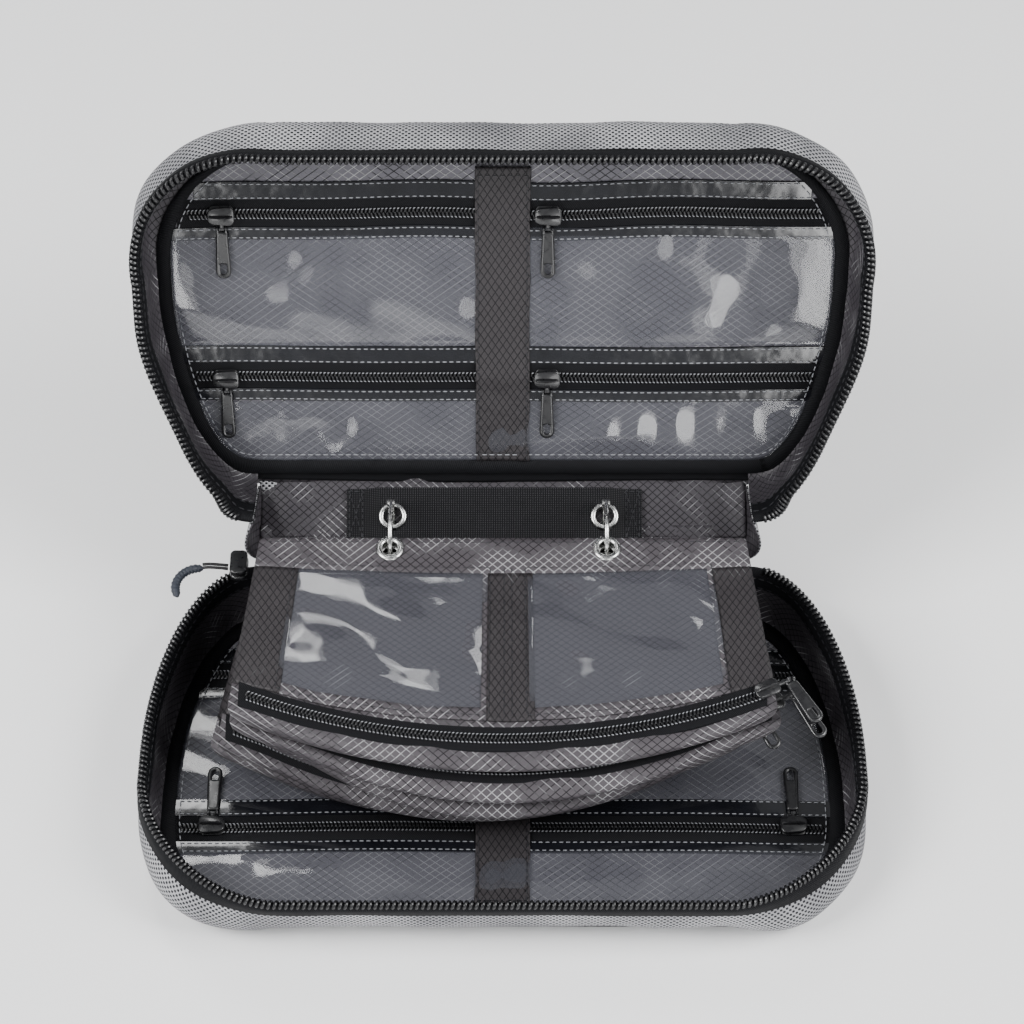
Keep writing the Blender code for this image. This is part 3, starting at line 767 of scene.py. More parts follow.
def rounded_bar(y0, y1, inset, low, high, seed, columns=140):
    """A flat bar across the panel with soft edges."""
    half = (y1 - y0) / 2
    section = [(-half, low), (-half, (low + high) / 2), (-half * 0.93, high), (0, high + 0.0001),
               (half * 0.93, high), (half, (low + high) / 2), (half, low)]
    middle = (y0 + y1) / 2
    reach = half_width(middle, inset)
    x = np.linspace(-reach, reach, columns)
    wander = sway(x, seed)
    return [[(x[i], middle + dy + wander[i], z) for dy, z in section] for i in range(columns)]


def coil_rows(teeth, threads, path):
    """Two meshed rows of coil with the thread that sews each to its tape."""
    places, along = evenly(path, COIL_PITCH)
    along = along / np.linalg.norm(along, axis=1)[:, None]
    side = np.cross(np.broadcast_to(np.asarray(UP, float), along.shape), along)
    tooth = capsule(0.0021, 0.00043, 0.00038)
    lift = 0.0001 * np.asarray(UP, float)
    for row, sign in enumerate((1, -1)):
        shift = along * COIL_PITCH * (0.5 * row)
        lean = side * sign + along * 0.22
        teeth.scatter(tooth, places + shift + side * sign * 0.00085 + lift, lean)
        seam = places + shift + along * COIL_PITCH * 0.25 + side * sign * 0.00150 + 4.2 * lift
        threads.scatter(capsule(0.00085, 0.00017), seam, along + side * sign * 0.5)


def pocket_rows(lower):
    """Where the zips and clear strips lie, as distances from the spine."""
    rows = [DEPTH - row if lower else row for row in ZIP_ROWS]
    sign = -1 if lower else 1
    strips = []
    for row in rows:
        for side, wide in ((1, 0.0064), (-1, 0.0046)):
            edge = row + sign * side * 0.0047
            strips.append(sorted((edge, edge + sign * side * wide)))
    return rows, strips


def pocket_panel(prefix, lower, place):
    """The cloth, clear windows, zips and backed strips of one half's two pockets."""
    body = "base" if lower else "lid"
    seed = 40 if lower else 60
    rows, strips = pocket_rows(lower)
    inset = PANEL_INSET + 0.0036

    def cloth_height(x, y):
        return FLOOR + 0.0002 + 0.00012 * ripple(x, y, 0.03, seed)

    back = Shape().grid(panel_band(0.0080, DEPTH - 0.0072, PANEL_INSET, cloth_height, 160, 90,
                                   seed))
    piece = back.piece(prefix + "_pocket_back", pocket_cloth, "ripstop", place, 0.0004)
    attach(piece, body)

    windows = ((0.0340, 0.0785), (0.0945, 0.1165)) if lower else ((0.0085, 0.0330), (0.0530, 0.0960))
    for number, (y0, y1) in enumerate(windows, 1):
        def sheet_height(x, y, y0=y0, y1=y1, number=number):
            pinned = np.clip((y - y0 - 0.002) * (y1 - 0.002 - y) / ((y1 - y0) / 2 - 0.002) ** 2, 0, 1) ** 0.8
            wave = ripple(x, y, 0.060, seed + number * 7) + 0.3 * ripple(x, y, 0.019, seed + 3 * number)
            return FLOOR + 0.0009 + pinned * (0.0009 + 0.0006 * wave)

        sheet = Shape().grid(panel_band(y0, y1, inset, sheet_height, 200, 60, seed))
        piece = sheet.piece(f"{prefix}_window_{number}", clear, "clear_sheet", place, 0.00025)
        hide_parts(f"{prefix}_pocket_window_{number}")
        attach(piece, body)

    edges, teeth, threads, seams = Shape(), Shape(), Shape(), Shape()
    for number, row in enumerate(rows, 1):
        bar = rounded_bar(row - 0.0050, row + 0.0050, inset - 0.001, FLOOR + 0.0004, ZIP_TOP - 0.0004,
                          seed + number)
        run = Shape().loft(bar, np.array(bar)[..., :2])
        piece = run.piece(f"{prefix}_zip_tape_{number}", tape, "black_tape", place)
        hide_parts(f"{prefix}_pocket_zip_{number}")
        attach(piece, body)
        reach = half_width(row, inset) - 0.002
        x = np.linspace(-reach, reach, 120)
        path = np.column_stack([x, row + sway(x, seed + number), 0 * x + ZIP_TOP])
        coil_rows(teeth, threads, path)
    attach(teeth.piece(prefix + "_zip_teeth", coil_nylon, "zip_coil", place), body)
    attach(threads.piece(prefix + "_zip_threads", grey_thread, "black_tape", place), body)

    for number, (y0, y1) in enumerate(strips):
        bar = rounded_bar(y0, y1, inset - 0.0004, ZIP_TOP - 0.0007, ZIP_TOP - 0.0001,
                          seed + 1 + number // 2)
        edges.loft(bar, np.array(bar)[..., :2])
        for y in (y0 + 0.0008, y1 - 0.0008):
            reach = half_width(y, inset) - 0.001
            x = np.linspace(-reach, reach, 100)
            path = np.column_stack([x, y + sway(x, seed + 1 + number // 2), 0 * x + ZIP_TOP + 0.0001])
            stitches(seams, path, 0.0023, 0.0015, 0.0002)
    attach(edges.piece(prefix + "_backed_strips", backed_clear, "clear_sheet", place), body)

    loop = edge_loop(PANEL_INSET + 0.0052, 0.0095, 0.0140)
    path = np.column_stack([loop, np.full(len(loop), FLOOR + 0.0016)])
    stitches(seams, path, 0.0026, 0.0018, 0.0002, closed=True)
    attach(seams.piece(prefix + "_panel_stitches", grey_thread, "black_tape", place), body)
    panel_binding(prefix, place, body)
    centre_strip(prefix, lower, place, body, rows)


def panel_binding(prefix, place, body):
    """Black tape folded over the pocket panel's edge."""
    outer = edge_loop(PANEL_INSET - 0.0012, 0.0062, 0.0066)
    inner = edge_loop(PANEL_INSET + 0.0038, 0.0082, 0.0118)
    inner = np.array([inner[np.argmin(np.linalg.norm(inner - p, axis=1))] for p in outer])
    inner = eased(inner, 4)
    rings = []
    for share, height in ((0, 0.0), (0.02, 0.0009), (0.25, 0.0015), (0.6, 0.0016), (0.93, 0.0011),
                          (1, 0.0004)):
        xy = outer + (inner - outer) * share
        rough = 0.00012 * ripple(xy[:, 0], xy[:, 1], 0.012, 3)
        rings.append(np.column_stack([xy, FLOOR + height + rough * (height > 0.0005)]))
    grid = np.array(rings)
    run = run_lengths(outer)
    cloth = np.array([np.column_stack([run, np.full(len(run), k * 0.0012)]) for k in range(len(grid))])
    shape = Shape().add(grid, grid_faces(len(grid), len(outer), True), cloth)
    shape.grid(panel_band(0.0015, 0.0082, 0.0040, 0.0019))
    piece = shape.piece(prefix + "_edge_binding", tape, "black_tape", place, 0.0003)
    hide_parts(prefix + "_binding")
    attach(piece, body)


def centre_strip(prefix, lower, place, body, rows):
    """A ripstop strip over the zips, with both long edges folded under and sewn."""
    y0, y1 = (0.0135, 0.1180) if lower else (0.0105, 0.1175)
    half = STRIP_WIDTH / 2
    xs = np.array([-1, -0.985, -0.90, -0.80, -0.4, 0, 0.4, 0.80, 0.90, 0.985, 1]) * half
    rise = np.array([-0.0006, -0.0001, 0.0001, -0.0001, -0.0002, -0.0002, -0.0002, -0.0001, 0.0001,
                     -0.0001, -0.0006])
    grid = []
    for y in np.linspace(y0, y1, 110):
        hump = sum(math.exp(-((y - row) / 0.0045) ** 2) for row in rows)
        z = ZIP_TOP + 0.0004 + 0.0007 * hump + rise + 0.00014 * ripple(xs, y, 0.016, 8)
        grid.append(np.column_stack([xs + 0.0003 * ripple(y, 0.0, 0.05, 9), np.full(len(xs), y), z]))
    shape = Shape().grid(np.array(grid))
    piece = shape.piece(prefix + "_strip", strip_cloth, "ripstop", place, 0.0004)
    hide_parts(prefix + "_centre_strip")
    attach(piece, body)
    seams = Shape()
    grid = np.array(grid)
    for column in (2, 8):
        stitches(seams, grid[:, column] + np.array([0, 0, 0.0003]), 0.0024, 0.0016, 0.00018)
    for row in (3, -4):
        stitches(seams, grid[row, 1:-1] + np.array([0, 0, 0.0003]), 0.0024, 0.0016, 0.00018)
    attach(seams.piece(prefix + "_strip_stitches", dark_thread, "black_tape", place), body)


# ---------------------------------------------------------------- sliders and pull tabs
def rounded_outline(length, width, corner, steps=4):
    """A rounded rectangle about the origin."""
    points = []
    for cx, cy, start in ((1, 1, 0), (-1, 1, 90), (-1, -1, 180), (1, -1, 270)):
        for i in range(steps + 1):
            a = math.radians(start + 90 * i / steps)
            points.append((cx * (length / 2 - corner) + corner * math.cos(a),
                           cy * (width / 2 - corner) + corner * math.sin(a)))
    return points


def plate(shape, points, low, high, edge=0.0003):
    """A flat plate with its edges eased."""
    points = np.asarray(points, float)
    middle = points.mean(0)
    size = np.abs(points - middle).max()
    rings = []
    for height, ease in ((low, edge), (low + edge * 0.5, 0), (high - edge, 0),
                         (high - edge * 0.3, edge * 0.4), (high, edge)):
        ring = middle + (points - middle) * (1 - ease / size)
        rings.append(np.column_stack([ring, np.full(len(ring), height)]))
    return shape.loft(rings)


def slider_piece(name, place, body, size, hinge):
    """A slider: two plates, the post between them, a bridge, and a lug at the tab's hinge.

    hinge is the tab's pivot in the slider's frame, and its axis is square to the lug.
    """
    length, width, height = size
    shape = Shape()
    nose = []
    for x, y in rounded_outline(length, width, min(length, width) * 0.3, 5):
        nose.append((x, y * (1 - 0.22 * smooth_step(0, length / 2, -x))))
    top = height + 0.0003
    plate(shape, nose, top - 0.0009, top, 0.0004)
    plate(shape, rounded_outline(length * 0.9, width * 0.9, width * 0.25), 0.0003, 0.0007, 0.0001)
    plate(shape, rounded_outline(length * 0.3, width * 0.3, width * 0.1), 0.0005, top - 0.0005, 0.0001)
    arch = [(length * 0.36 * math.cos(a), 0, top - 0.0002 + 0.0007 * math.sin(a))
            for a in np.linspace(math.pi, 0, 15)]
    shape.tube(arch, 0.0009, 8, up=(0, 1, 0), flat=0.55)
    direction = np.array([hinge[0], hinge[1], 0.0])
    direction /= np.linalg.norm(direction)
    start = np.array([0, 0, hinge[2]]) + direction * 0.0012
    end = np.array(hinge) - direction * 0.0002
    lug = [start + (end - start) * t for t in np.linspace(0, 1, 6)]
    shape.tube(lug, 0.0008, 8, up=UP, flat=0.55)
    across = np.cross(direction, (0, 0, 1))
    eye = [np.array(hinge) + across * t for t in (-0.0009, -0.0008, 0.0008, 0.0009)]
    shape.tube(eye, np.array([0.0005, 0.0007, 0.0007, 0.0005]), 10, up=direction)
    piece = shape.piece(name + "_body", paint, "black_metal", place)
    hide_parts(name)
    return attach(piece, body)


def tab_piece(name, place, body):
    """A pull tab with a raised rim, a long face and an oval hole, hanging along -y."""
    half = TAB_WIDTH / 2
    end = -TAB_LENGTH + half
    hole_half, hole_length = 0.0012, 0.0024
    steps = 12

    def ring(width, low, high, top_width):
        points = []
        for i in range(steps + 1):
            a = math.pi * i / steps
            points.append((width * math.cos(a), low - width * math.sin(a)))
        for i in range(steps + 1):
            a = math.pi + math.pi * i / steps
            points.append((top_width * math.cos(a), high - top_width * math.sin(a) * 0.35))
        return points

    outer = ring(half, end, -0.0016, half * 0.78)
    eased = ring(half - 0.0003, end, -0.0018, half * 0.78 - 0.0003)
    rim = ring(half - 0.0008, end, -0.0022, half * 0.78 - 0.0008)
    face = ring(hole_half + 0.0004, end, end + hole_length, hole_half + 0.0004)
    hole = ring(hole_half, end, end + hole_length, hole_half)
    layers = ((hole, -0.0005), (face, -0.0006), (eased, -0.0006), (outer, -0.0003), (outer, 0.0003),
              (eased, 0.0006), (rim, 0.0006), (rim, 0.0004), (face, 0.0004), (face, 0.00062), (hole, 0.0005))
    rings = np.array([[(x, y, z) for x, y in points] for points, z in layers])
    shape = Shape().add(rings, ring_faces(*rings.shape[:2]))
    for side in (-1, 1):
        arm = [(side * 0.0014, y, z) for y, z in ((-0.0024, 0), (-0.0012, 0), (0, 0))]
        shape.tube(arm, 0.00042, 7)
        knuckle = [(side * x, 0, 0) for x in (0.00105, 0.0012, 0.0018, 0.00195)]
        shape.tube(knuckle, np.array([0.0005, 0.0007, 0.0007, 0.0005]), 10, up=(0, 1, 0))
    piece = shape.piece(name + "_plate", paint, "black_metal", place)
    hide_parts(name)
    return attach(piece, body)


def pocket_sliders(prefix, place):
    width, height = POCKET_SLIDER[1:]
    for number in (1, 2):
        for side in ("left", "right"):
            name = f"{prefix}_slider_{side}_{number}"
            low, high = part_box(name)
            middle = place.inverted() @ ((low + high) / 2)
            origin = Vector((middle.x, middle.y, ZIP_TOP))
            here = place @ Matrix.Translation(origin)
            hinge = (0, -width / 2 - TAB_CLEAR, TAPE_CLEAR + height / 2)
            slider_piece(name, here, name, POCKET_SLIDER, hinge)
            tab_piece(name + "_tab", here @ Matrix.Translation(hinge), name + "_tab")


# ---------------------------------------------------------------- spine
def folded_strip(name, finish, slot, half, route, seed, thickness, rough, tuck=0.0):
    """A strip of cloth over a fold of the spine. route is (y, z) points in the row frame.

    Its ends are tucked in by up to tuck, half way along the route.
    """
    route = np.asarray(route, float)
    lengths = run_lengths(route)
    at = np.linspace(0, lengths[-1], 40)
    y, z = np.interp(at, lengths, route[:, 0]), np.interp(at, lengths, route[:, 1])
    for _ in range(4):
        y[1:-1] = (y[:-2] + 2 * y[1:-1] + y[2:]) / 4
        z[1:-1] = (z[:-2] + 2 * z[1:-1] + z[2:]) / 4
    direction = np.gradient(np.column_stack([y, z]), axis=0)
    direction /= np.linalg.norm(direction, axis=1)[:, None]
    x = np.linspace(-half, half, 150)
    grid, cloth = [], []
    for i in range(len(at)):
        looser_ends = 1 + 1.5 * smooth_step(half * 0.72, half, np.abs(x))
        mid_route = math.exp(-((at[i] / at[-1] - 0.55) / 0.2) ** 2)
        bump = rough * ripple(x, at[i] + 0 * x, 0.022, seed) * looser_ends
        bump = bump + tuck * smooth_step(half - 0.016, half, np.abs(x)) * mid_route
        grid.append(np.column_stack([x, y[i] - direction[i, 1] * bump, z[i] + direction[i, 0] * bump]))
        cloth.append(np.column_stack([x, np.full(len(x), at[i])]))
    piece = Shape().grid(np.array(grid), np.array(cloth)).piece(name, finish, slot, thickness=thickness)
    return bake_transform(piece)


def spine_place(y, z):
    point = SPINE_FRAME @ Vector((0, y, z))
    return point.y, point.z


def lid_place(y, z):
    point = LID_FRAME @ Vector((0, y, z))
    return point.y, point.z


def spine():
    """Cover and lining of the spine. Each is two strips, one over each fold."""
    half = SPINE_LENGTH / 2 - 0.0006
    out, ins = -WALL / 2, WALL / 2
    edge = FOLD.y + WALL / 2 + 0.0002
    folded_strip("spine_cover_low", weave, "outer_weave", half, [
        (edge - 0.006, 0.0002), (edge - 0.002, 0.0012), (edge, 0.0045), (edge, 0.026),
        spine_place(0.001, out - 0.0012), spine_place(0.016, out)],
        31, 0.0008, 0.0002)
    folded_strip("spine_cover_top", weave, "outer_weave", half, [
        spine_place(0.0135, out - 0.0004), spine_place(UPPER_SPINE - 0.001, out - 0.0006),
        lid_place(0.001, -0.0010), lid_place(0.006, -0.0006), lid_place(0.013, -0.0003)],
        32, 0.0008, 0.0002, 0.0022)
    panel = folded_strip("spine_lining_low", lining, "ripstop", half - 0.0005, [
        (FOLD.y - ins - 0.003, 0.0029), (FOLD.y - ins, 0.006), (FOLD.y - ins, 0.025),
        spine_place(0.0015, ins - 0.0006), spine_place(0.014, ins - 0.0009)],
        33, 0.0005, 0.0003)
    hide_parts("spine_panel")
    folded_strip("spine_lining_top", lining, "ripstop", half - 0.0005, [
        spine_place(0.010, ins - 0.0007), spine_place(UPPER_SPINE - 0.0035, ins - 0.0005),
        lid_place(0.0006, 0.0016), lid_place(0.0018, 0.0014), lid_place(0.0030, 0.0011)],
        34, 0.0005, 0.0003)


def webbing():
    """The webbing's material, box stitches and eyelets. Its solid is the frame's own."""
    strap = frame["nodes"]["ring_webbing"]
    strap.data.materials.clear()
    strap.data.materials.append(webbing_weave)
    low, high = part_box("ring_webbing")
    seams = Shape()
    sewn = 0.0055
    up = WEBBING_LOW + 0.018
    for x, sign in ((low.x, 1), (high.x, -1)):
        z = 0.0026
        corners = [(x + sign * 0.0009, WEBBING_LOW + 0.0009, z), (x + sign * sewn, WEBBING_LOW + 0.0009, z),
                   (x + sign * sewn, up - 0.0009, z), (x + sign * 0.0009, up - 0.0009, z)]
        stitches(seams, corners, 0.0021, 0.0015, 0.0002, closed=True)
        stitches(seams, [corners[0], corners[2]], 0.0021, 0.0015, 0.0002)
        stitches(seams, [corners[1], corners[3]], 0.0021, 0.0015, 0.0002)
    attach(seams.piece("webbing_stitches", dark_thread, "black_tape", SPINE_FRAME), "spine")
    for side, x in zip(("left", "right"), RING_X):
        place = SPINE_FRAME @ Matrix.Translation((x, WEBBING_LOW + EYELET_UP, WEBBING_TOP))
        piece = eyelet("webbing_ring_hole_" + side, place, 0.0012, 0.0030)
        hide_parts("webbing_eyelet_" + side)
        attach(piece, "spine")


def eyelet(name, place, depth, hole, outer=0.00495, finish=nickel):
    """A pressed eyelet: a rolled flange round a short barrel."""
    rolled = []
    middle, half = (hole + outer) / 2, (outer - hole) / 2
    for i in range(9):
        a = math.pi * i / 8
        rolled.append((middle + half * math.cos(a), 0.0001 + 0.00085 * math.sin(a)))
    profile = rolled + [(hole, -depth), (hole + 0.0003, -depth), (hole + 0.0004, 0.0)]
    return Shape().lathe(profile, place, 44).piece(name, finish, "nickel")


def ring_path(x, turns):
    """Places round the ring that stands at x."""
    out = np.column_stack([0 * turns, -np.cos(turns), np.sin(turns)])
    return np.array(RING_CENTRE) + RING_RADIUS * out + np.array([x, 0, 0])


def rings():
    """Two split rings: a fixed half, and a gate that opens at the knuckle."""
    for side, x in zip(("left", "right"), RING_X):
        for half, start, end, body in (("back", KNUCKLE, KNUCKLE + math.pi, "rings"),
                                       ("gate", KNUCKLE - math.pi, KNUCKLE, "ring_gates")):
            clear = math.radians(3.5)
            shape = Shape()
            path = ring_path(x, np.linspace(start + clear, end - clear, 60))
            shape.tube(path, 0.00088, 12, up=(1, 0, 0))
            joint_end = start if half == "back" else end
            tip = end if half == "back" else start
            inward = 1 if half == "back" else -1
            path = ring_path(x, np.linspace(tip - inward * 0.23, tip - inward * clear * 1.2, 6))
            shape.tube(path, np.array([0.9, 1.15, 1.15, 1.15, 1.15, 0.9]) * 0.001, 12, up=(1, 0, 0))
            pivot = ring_path(x, np.array([KNUCKLE]))[0]
            spans = ((-0.0005, 0.0005),) if half == "back" else ((-0.0014, -0.0006), (0.0006, 0.0014))
            for low, high in spans:
                path = [pivot + np.array([t, 0, 0]) for t in (low, low + 0.0001, high - 0.0001, high)]
                shape.tube(path, np.array([0.0009, 0.0011, 0.0011, 0.0009]), 14, up=UP)
            path = ring_path(x, np.linspace(joint_end, joint_end + inward * clear * 1.6, 5))
            shape.tube(path, 0.00092, 10, up=(1, 0, 0))
            piece = shape.piece(f"split_ring_{side}_{half}", nickel, "nickel")
            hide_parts(f"ring_{side}_{half}")
            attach(piece, body)


# ---------------------------------------------------------------- zip pouches
def page_arc(number):
    """Radius of the pouch's curved front edge."""
    sag = PAGE_MIDDLE - PAGE_SIDE
    return (PAGE_HALF_FRONT[number] ** 2 + sag ** 2) / (2 * sag)


def page_reach(number, x):
    """How far forward of its holes the pouch's front edge lies at x, with its bow."""
    radius = page_arc(number)
    bow = np.clip(1 - (x / PAGE_HALF_FRONT[number] / 0.8) ** 2, 0, 1)
    return PAGE_MIDDLE - radius + np.sqrt(radius ** 2 - x ** 2) + PAGE_PUSH[number] * bow


def page_point(number, u, t):
    """A place on the pouch: u across it, -1 to 1, and t from its back edge to its front."""
    front = PAGE_HALF_FRONT[number]
    reach = page_reach(number, u * front)
    half = PAGE_HALF_BACK + (front - PAGE_HALF_BACK) * t
    rounding = 1 - 0.06 * np.clip((t - 0.93) / 0.07, 0, 1) ** 2
    x = u * half * rounding + PAGE_LEAN[number] * t
    return x, PAGE_BACK - (reach + PAGE_BACK) * t


def page_heights(number, u, t):
    """Top and bottom of the pouch, above and below its middle plane."""
    x, y = page_point(number, u, t)
    edge = np.sqrt(np.clip((1 - np.abs(u)) / 0.05, 0, 1))
    swell = 0.0008 + 0.0013 * smooth_step(0.0, 0.8, t)
    hem = smooth_step(0.90, 0.95, t)
    nose = np.sqrt(np.clip(1 - np.clip((t - 0.945) / 0.055, 0, 1) ** 2, 0, 1))
    wave = ripple(x, y, 0.035, 70 + number) * 0.00035 * smooth_step(0.05, 0.4, t)
    low_wave = ripple(x, y, 0.03, 90 + number) * 0.0002 * smooth_step(0.1, 0.5, t)
    top = swell + 0.0007 * hem + np.minimum(wave, 0.0003)
    bottom = swell + 0.0003 * smooth_step(0.5, 0.9, t) + 0.0008 * hem + low_wave
    round_off = (0.35 + 0.65 * edge) * nose
    return top * round_off, -bottom * round_off - 0.0004 * (1 - nose)


U_LINES = np.concatenate([np.linspace(-1, -0.84, 9), np.linspace(-0.82, -0.08, 34),
                          np.linspace(-0.06, 0.10, 8), np.linspace(0.12, 0.82, 34),
                          np.linspace(0.84, 1, 9)])
T_LINES = np.concatenate([np.linspace(0, 0.14, 7), np.linspace(0.16, 0.755, 30),
                          np.linspace(0.775, 0.955, 12),
                          1 - 0.045 * (1 - np.sin(np.linspace(0.2, math.pi / 2, 7)))])


def page_surface(number, lift=0.0):
    u, t = np.meshgrid(U_LINES, T_LINES)
    x, y = page_point(number, u, t)
    top, bottom = page_heights(number, u, t)
    return u, t, np.stack([x, y, top + lift], 2), np.stack([x, y, bottom], 2)


def pouch(number):
    """A soft zip pouch with two clear windows in a ripstop frame, bound on the rings."""
    name = f"pouch_{number + 1}"
    place = page_frame(number)
    u, t, top, bottom = page_surface(number)
    rows, columns = u.shape
    section = np.concatenate([top, bottom[::-1]], 0)
    run = np.cumsum(np.linalg.norm(np.diff(section, axis=0, prepend=section[:1]), axis=2), axis=0)
    cloth = np.stack([section[..., 0], run], 2)
    count = section.shape[0]
    shape = Shape()
    faces = grid_faces(count, columns)
    faces += [(j, j + 1, (count - 1) * columns + j + 1, (count - 1) * columns + j)[::-1]
              for j in range(columns - 1)]
    for column in (0, columns - 1):
        faces += [(i * columns + column, (i + 1) * columns + column,
                   (count - 2 - i) * columns + column, (count - 1 - i) * columns + column)
                  for i in range(rows - 1)]
    shape.add(section, faces, cloth)
    body = shape.piece(name + "_body", pouch_cloth, "ripstop", place)
    punch(body, place)
    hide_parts(name)
    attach(body, name)

    window = ((np.abs(u) < 0.83) & ((u < -0.07) | (u > 0.11)) & (t > 0.15) & (t < 0.765))
    cell = window[:-1, :-1] & window[1:, 1:]
    behind_zip = t[:-1, :-1] < 0.80
    middle = u[:-1, :-1]
    strips = ((np.abs(middle) > 0.825) | ((middle > -0.075) & (middle < 0.105))) & (t[:-1, :-1] > 0.145)
    _, _, raised, _ = page_surface(number, 0.0007)
    for part, keep, finish in (("bands", ~strips, pouch_cloth), ("strips", strips, strip_cloth)):
        border = Shape().grid(raised, raised[..., :2], keep=~cell & behind_zip & keep)
        piece = border.piece(f"{name}_window_{part}", finish, "ripstop", place, 0.0004)
        if part == "bands":
            punch(piece, place)
        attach(piece, name)

    for side, inside in (("left", u < 0), ("right", u > 0)):
        x, y = top[..., 0], top[..., 1]
        pinned = np.clip((t - 0.14) * (0.77 - t) / 0.0992, 0, 1) ** 0.5
        wave = ripple(x, y, 0.040, 100 + number) + 0.4 * ripple(x, y, 0.018, 120 + number)
        sheet, backing = top.copy(), top.copy()
        backing[..., 2] += 0.0002
        sheet[..., 2] += 0.0005 + pinned * (0.0006 + 0.00055 * wave)
        grown = ((np.abs(u) < 0.86) & ((u < -0.055) | (u > 0.095)) & (t > 0.14) & (t < 0.78) & inside)
        keep = grown[:-1, :-1] & grown[1:, 1:]
        behind = Shape().grid(backing, backing[..., :2], keep=keep)
        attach(behind.piece(f"{name}_behind_{side}", window_cloth, "ripstop", place, 0.0002), name)
        pane = Shape().grid(sheet, sheet[..., :2], keep=keep)
        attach(pane.piece(f"{name}_window_{side}", clear, "clear_sheet", place, 0.0002), name)

    pouch_zip(number, name, place)
    pouch_seams(number, name, place)
    for side, x in zip(("left", "right"), RING_X):
        here = place @ Matrix.Translation((x, 0, 0.0017))
        # the lower pouches' eyelets, under the top one, take the darker nickel as painted shade
        finish = shaded_nickel if number else nickel
        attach(eyelet(f"{name}_eyelet_{side}", here, 0.0030, 0.0026, 0.0048, finish), name)
    if number < PAGE_SLIDERS:
        pouch_slider(number, name, place)


def punch(piece, place):
    """Cut the two ring holes."""
    shape = Shape()
    for x in RING_X:
        turns = np.arange(28) * 2 * math.pi / 28
        rings = [[(x + 0.0031 * math.cos(a), 0.0031 * math.sin(a), z) for a in turns]
                 for z in (-0.006, 0.006)]
        shape.loft(rings)
    cutter = shape.piece("punch", dark_thread, "black_tape", place)
    cut = piece.modifiers.new("holes", "BOOLEAN")
    cut.operation = "DIFFERENCE"
    cut.solver = "EXACT"
    cut.object = cutter
    apply_modifiers(piece)
    bpy.data.objects.remove(cutter, do_unlink=True)


def apply_modifiers(piece):
    graph = bpy.context.evaluated_depsgraph_get()
    mesh = bpy.data.meshes.new_from_object(piece.evaluated_get(graph))
    piece.modifiers.clear()
    piece.data = mesh


def zip_line(number, offset, height, steps=140, margin=0.004):
    """A line parallel to the pouch's front edge, offset from the zip's middle."""
    reach = PAGE_HALF_FRONT[number] - margin
    x = np.linspace(-reach, reach, steps)
    y = -(page_reach(number, x) - PAGE_ZIP_IN) + offset
    return np.column_stack([x + PAGE_LEAN[number], y, 0 * x + height])


def pouch_zip(number, name, place):
    half = 0.0046
    low, high = PAGE_ZIP_LIFT - 0.0006, PAGE_ZIP_LIFT + 0.00025
    section = [(-half, low), (-half * 0.95, high), (0, high + 0.0001), (half * 0.95, high), (half, low)]
    lines = [zip_line(number, dy, z) for dy, z in section]
    rings = np.stack(lines, 1)
    shape = Shape().loft(rings, rings[..., :2])
    piece = shape.piece(name + "_zip_tape", tape, "black_tape", place)
    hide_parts(name + "_zip")
    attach(piece, name)
    teeth, threads = Shape(), Shape()
    coil_rows(teeth, threads, zip_line(number, 0, PAGE_ZIP_LIFT + 0.0005, margin=0.006))
    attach(teeth.piece(name + "_zip_teeth", coil_nylon, "zip_coil", place), name)
    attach(threads.piece(name + "_zip_threads", grey_thread, "black_tape", place), name)


def pouch_seams(number, name, place):
    """Seams round the windows, down the centre strip, along the back edge past the ring holes and down the
    sides.
    """
    seams = Shape()

    def line(us, ts, lift=0.0010):
        us, ts = np.broadcast_arrays(np.asarray(us, float), np.asarray(ts, float))
        x, y = page_point(number, us, ts)
        top, _ = page_heights(number, us, ts)
        stitches(seams, np.column_stack([x, y, top + lift]), 0.0024, 0.0016, 0.00018)

    run = np.linspace(0, 1, 60)
    for u0, u1 in ((-0.84, -0.05), (0.09, 0.84)):
        for t0 in (0.135, 0.785):
            line(u0 + (u1 - u0) * run, 0 * run + t0)
        for edge in (u0, u1):
            line(0 * run + edge, 0.135 + 0.65 * run)
    for u0 in (0.006, 0.036):
        line(0 * run + u0, 0.135 + 0.65 * run)
    for u0, u1 in ((-0.97, -0.55), (-0.37, 0.34), (0.52, 0.97)):
        line(u0 + (u1 - u0) * run, 0 * run + 0.02)
    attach(seams.piece(name + "_stitches", dark_thread, "black_tape", place), name)


def pouch_slider(number, name, place):
    radius = page_arc(number) - PAGE_ZIP_IN
    angle = math.asin((PAGE_HALF_FRONT[number] - 0.0040) / radius)
    centre = Vector((PAGE_LEAN[number], page_arc(number) - PAGE_MIDDLE, 0))
    arm = Vector((radius * math.sin(angle), -radius * math.cos(angle), PAGE_ZIP_LIFT + 0.0009))
    here = place @ Matrix.Translation(centre + arm) @ Matrix.Rotation(angle, 4, "Z")
    length, _, height = POUCH_SLIDER
    hinge = (length / 2 + TAB_WIDTH / 2 + TAB_CLEAR, 0, TAPE_CLEAR + height / 2)
    slider_piece(name + "_slider", here, name + "_slider", POUCH_SLIDER, hinge)
    turn = Matrix.Rotation(math.radians(30) - angle, 4, "Z")
    tab_piece(name + "_slider_tab", here @ Matrix.Translation(hinge) @ turn, name + "_slider_tab")


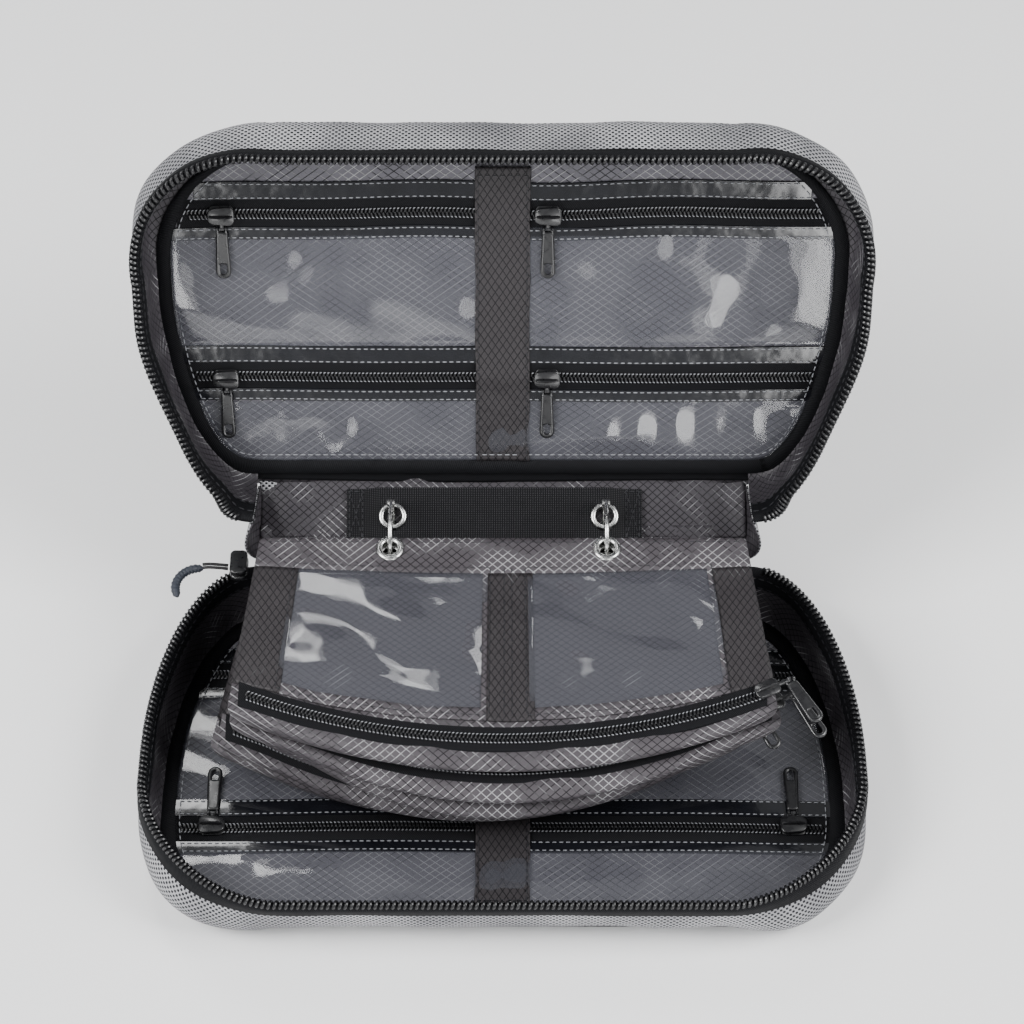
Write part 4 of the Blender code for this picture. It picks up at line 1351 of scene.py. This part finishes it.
# ---------------------------------------------------------------- main slider and puller
def main_slider():
    low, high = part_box("main_slider")
    middle = (low + high) / 2
    size = high - low
    place = Matrix.Translation(middle)
    shape = Shape()
    outline = rounded_outline(size.x, size.y, 0.0018, 6)
    plate(shape, outline, size.z * 0.03, size.z * 0.26, 0.0005)
    plate(shape, outline, -size.z * 0.5, -size.z * 0.22, 0.0005)
    plate(shape, rounded_outline(size.x * 0.5, size.y * 0.4, 0.0010), -size.z * 0.3, size.z * 0.2, 0.0002)
    piece = shape.piece("main_slider_body", paint, "black_metal", place)
    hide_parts("main_slider")
    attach(piece, "base")


def puller():
    """A thin cord loop moulded into a curved grip."""
    pivot = Vector(joints["puller_swing"]["pos_m"])
    route = [(0.0006, 0.0), (-0.0015, 0.0004), (-0.003, 0.0006), (-0.0045, 0.0008), (-0.006, 0.0009),
             (-0.0072, 0.0008), (-0.0082, 0.0006)]
    shape = Shape()
    for side in (-0.0007, 0.0007):
        path = [pivot + Vector((dx, side, dz)) for dx, dz in route]
        shape.tube([tuple(p) for p in path], 0.00055, 10, up=(0, 1, 0))
    loop = shape.piece("puller_cord", cord_finish, "black_tape")
    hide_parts("puller_loop")
    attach(loop, "puller")
    middle = pivot + Vector((-0.0095, -0.0085, 0.0006))
    angles = np.linspace(math.radians(78), math.radians(212), 40)
    path = np.array([tuple(middle + 0.0075 * Vector((math.cos(a), math.sin(a), 0))) for a in angles])
    share = np.linspace(-1, 1, len(angles))
    radius = 0.00152 * np.sqrt(np.clip(1 - np.abs(share) ** 9, 0.12, 1)) * (1 - 0.1 * np.cos(share * 40))
    grip = Shape().tube(path, radius, 14, up=UP).piece("puller_moulding", grip_rubber, "puller")
    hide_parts("puller_grip")
    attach(grip, "puller")


# ---------------------------------------------------------------- camera, floor and light
def camera():
    elevation, distance = math.radians(55.5), 0.951
    aim = SPINE_FRAME @ Vector((0.0031, 0.0180, 0.0053))
    data = bpy.data.cameras.new("camera")
    data.lens, data.sensor_width = 97, 36
    obj = bpy.data.objects.new("camera", data)
    obj.location = aim + distance * Vector((0, -math.cos(elevation), math.sin(elevation)))
    obj.rotation_euler = (math.pi / 2 - elevation, 0, 0)
    bpy.context.scene.collection.objects.link(obj)
    bpy.context.scene.camera = obj


def area_light(name, place, aim, size, power):
    data = bpy.data.lights.new(name, "AREA")
    data.shape, data.size, data.size_y, data.energy = "RECTANGLE", size[0], size[1], power
    obj = bpy.data.objects.new(name, data)
    obj.location = place
    obj.rotation_euler = (Vector(aim) - Vector(place)).to_track_quat("-Z", "Y").to_euler()
    bpy.context.scene.collection.objects.link(obj)


def studio():
    """Pale floor, soft surroundings and five soft lights."""
    f = Finish("floor_paper", (0.86, 0.86, 0.86), 0.9)
    f.roughness(f.step(f.noise(f.place(), 30), 0.2, 0.8, 0.85, 0.95))
    mesh = bpy.data.meshes.new("floor")
    reach = 4.0
    mesh.from_pydata([(-reach, -reach, -0.0002), (reach, -reach, -0.0002), (reach, reach, -0.0002),
                      (-reach, reach, -0.0002)], [], [(0, 1, 2, 3)])
    mesh.materials.append(f.material)
    floor = bpy.data.objects.new("floor", mesh)
    bpy.context.scene.collection.objects.link(floor)
    world = bpy.data.worlds.new("studio")
    world.use_nodes = True
    back = world.node_tree.nodes["Background"]
    back.inputs[0].default_value = (0.95, 0.97, 1.0, 1)
    back.inputs[1].default_value = 0.4
    bpy.context.scene.world = world
    low, middle, high = (0, 0.0, 0.03), (0, 0.05, 0.03), (0, 0.1, 0.09)
    area_light("left", (-0.75, -0.25, 0.95), middle, (0.6, 0.6), 18)
    area_light("right", (0.80, -0.15, 0.85), middle, (0.5, 0.7), 15)
    area_light("back", (-0.26, 0.74, 0.98), low, (0.24, 0.42), 3.2)
    area_light("front right", (0.36, -1.00, 0.30), high, (0.30, 0.5), 4)
    area_light("front left", (-0.42, -1.00, 0.30), high, (0.30, 0.5), 4)


camera()
studio()
for half_name, is_lower, half_place in (("lower", True, BASE_FRAME), ("upper", False, LID_FRAME)):
    covers(half_name, is_lower, half_place)
    pocket_panel(half_name, is_lower, half_place)
    pocket_sliders(half_name, half_place)
for gusset_side in (-1, 1):
    corner_gusset("left" if gusset_side < 0 else "right", gusset_side)
spine()
webbing()
rings()
for page_number in range(PAGES):
    pouch(page_number)
main_slider()
puller()
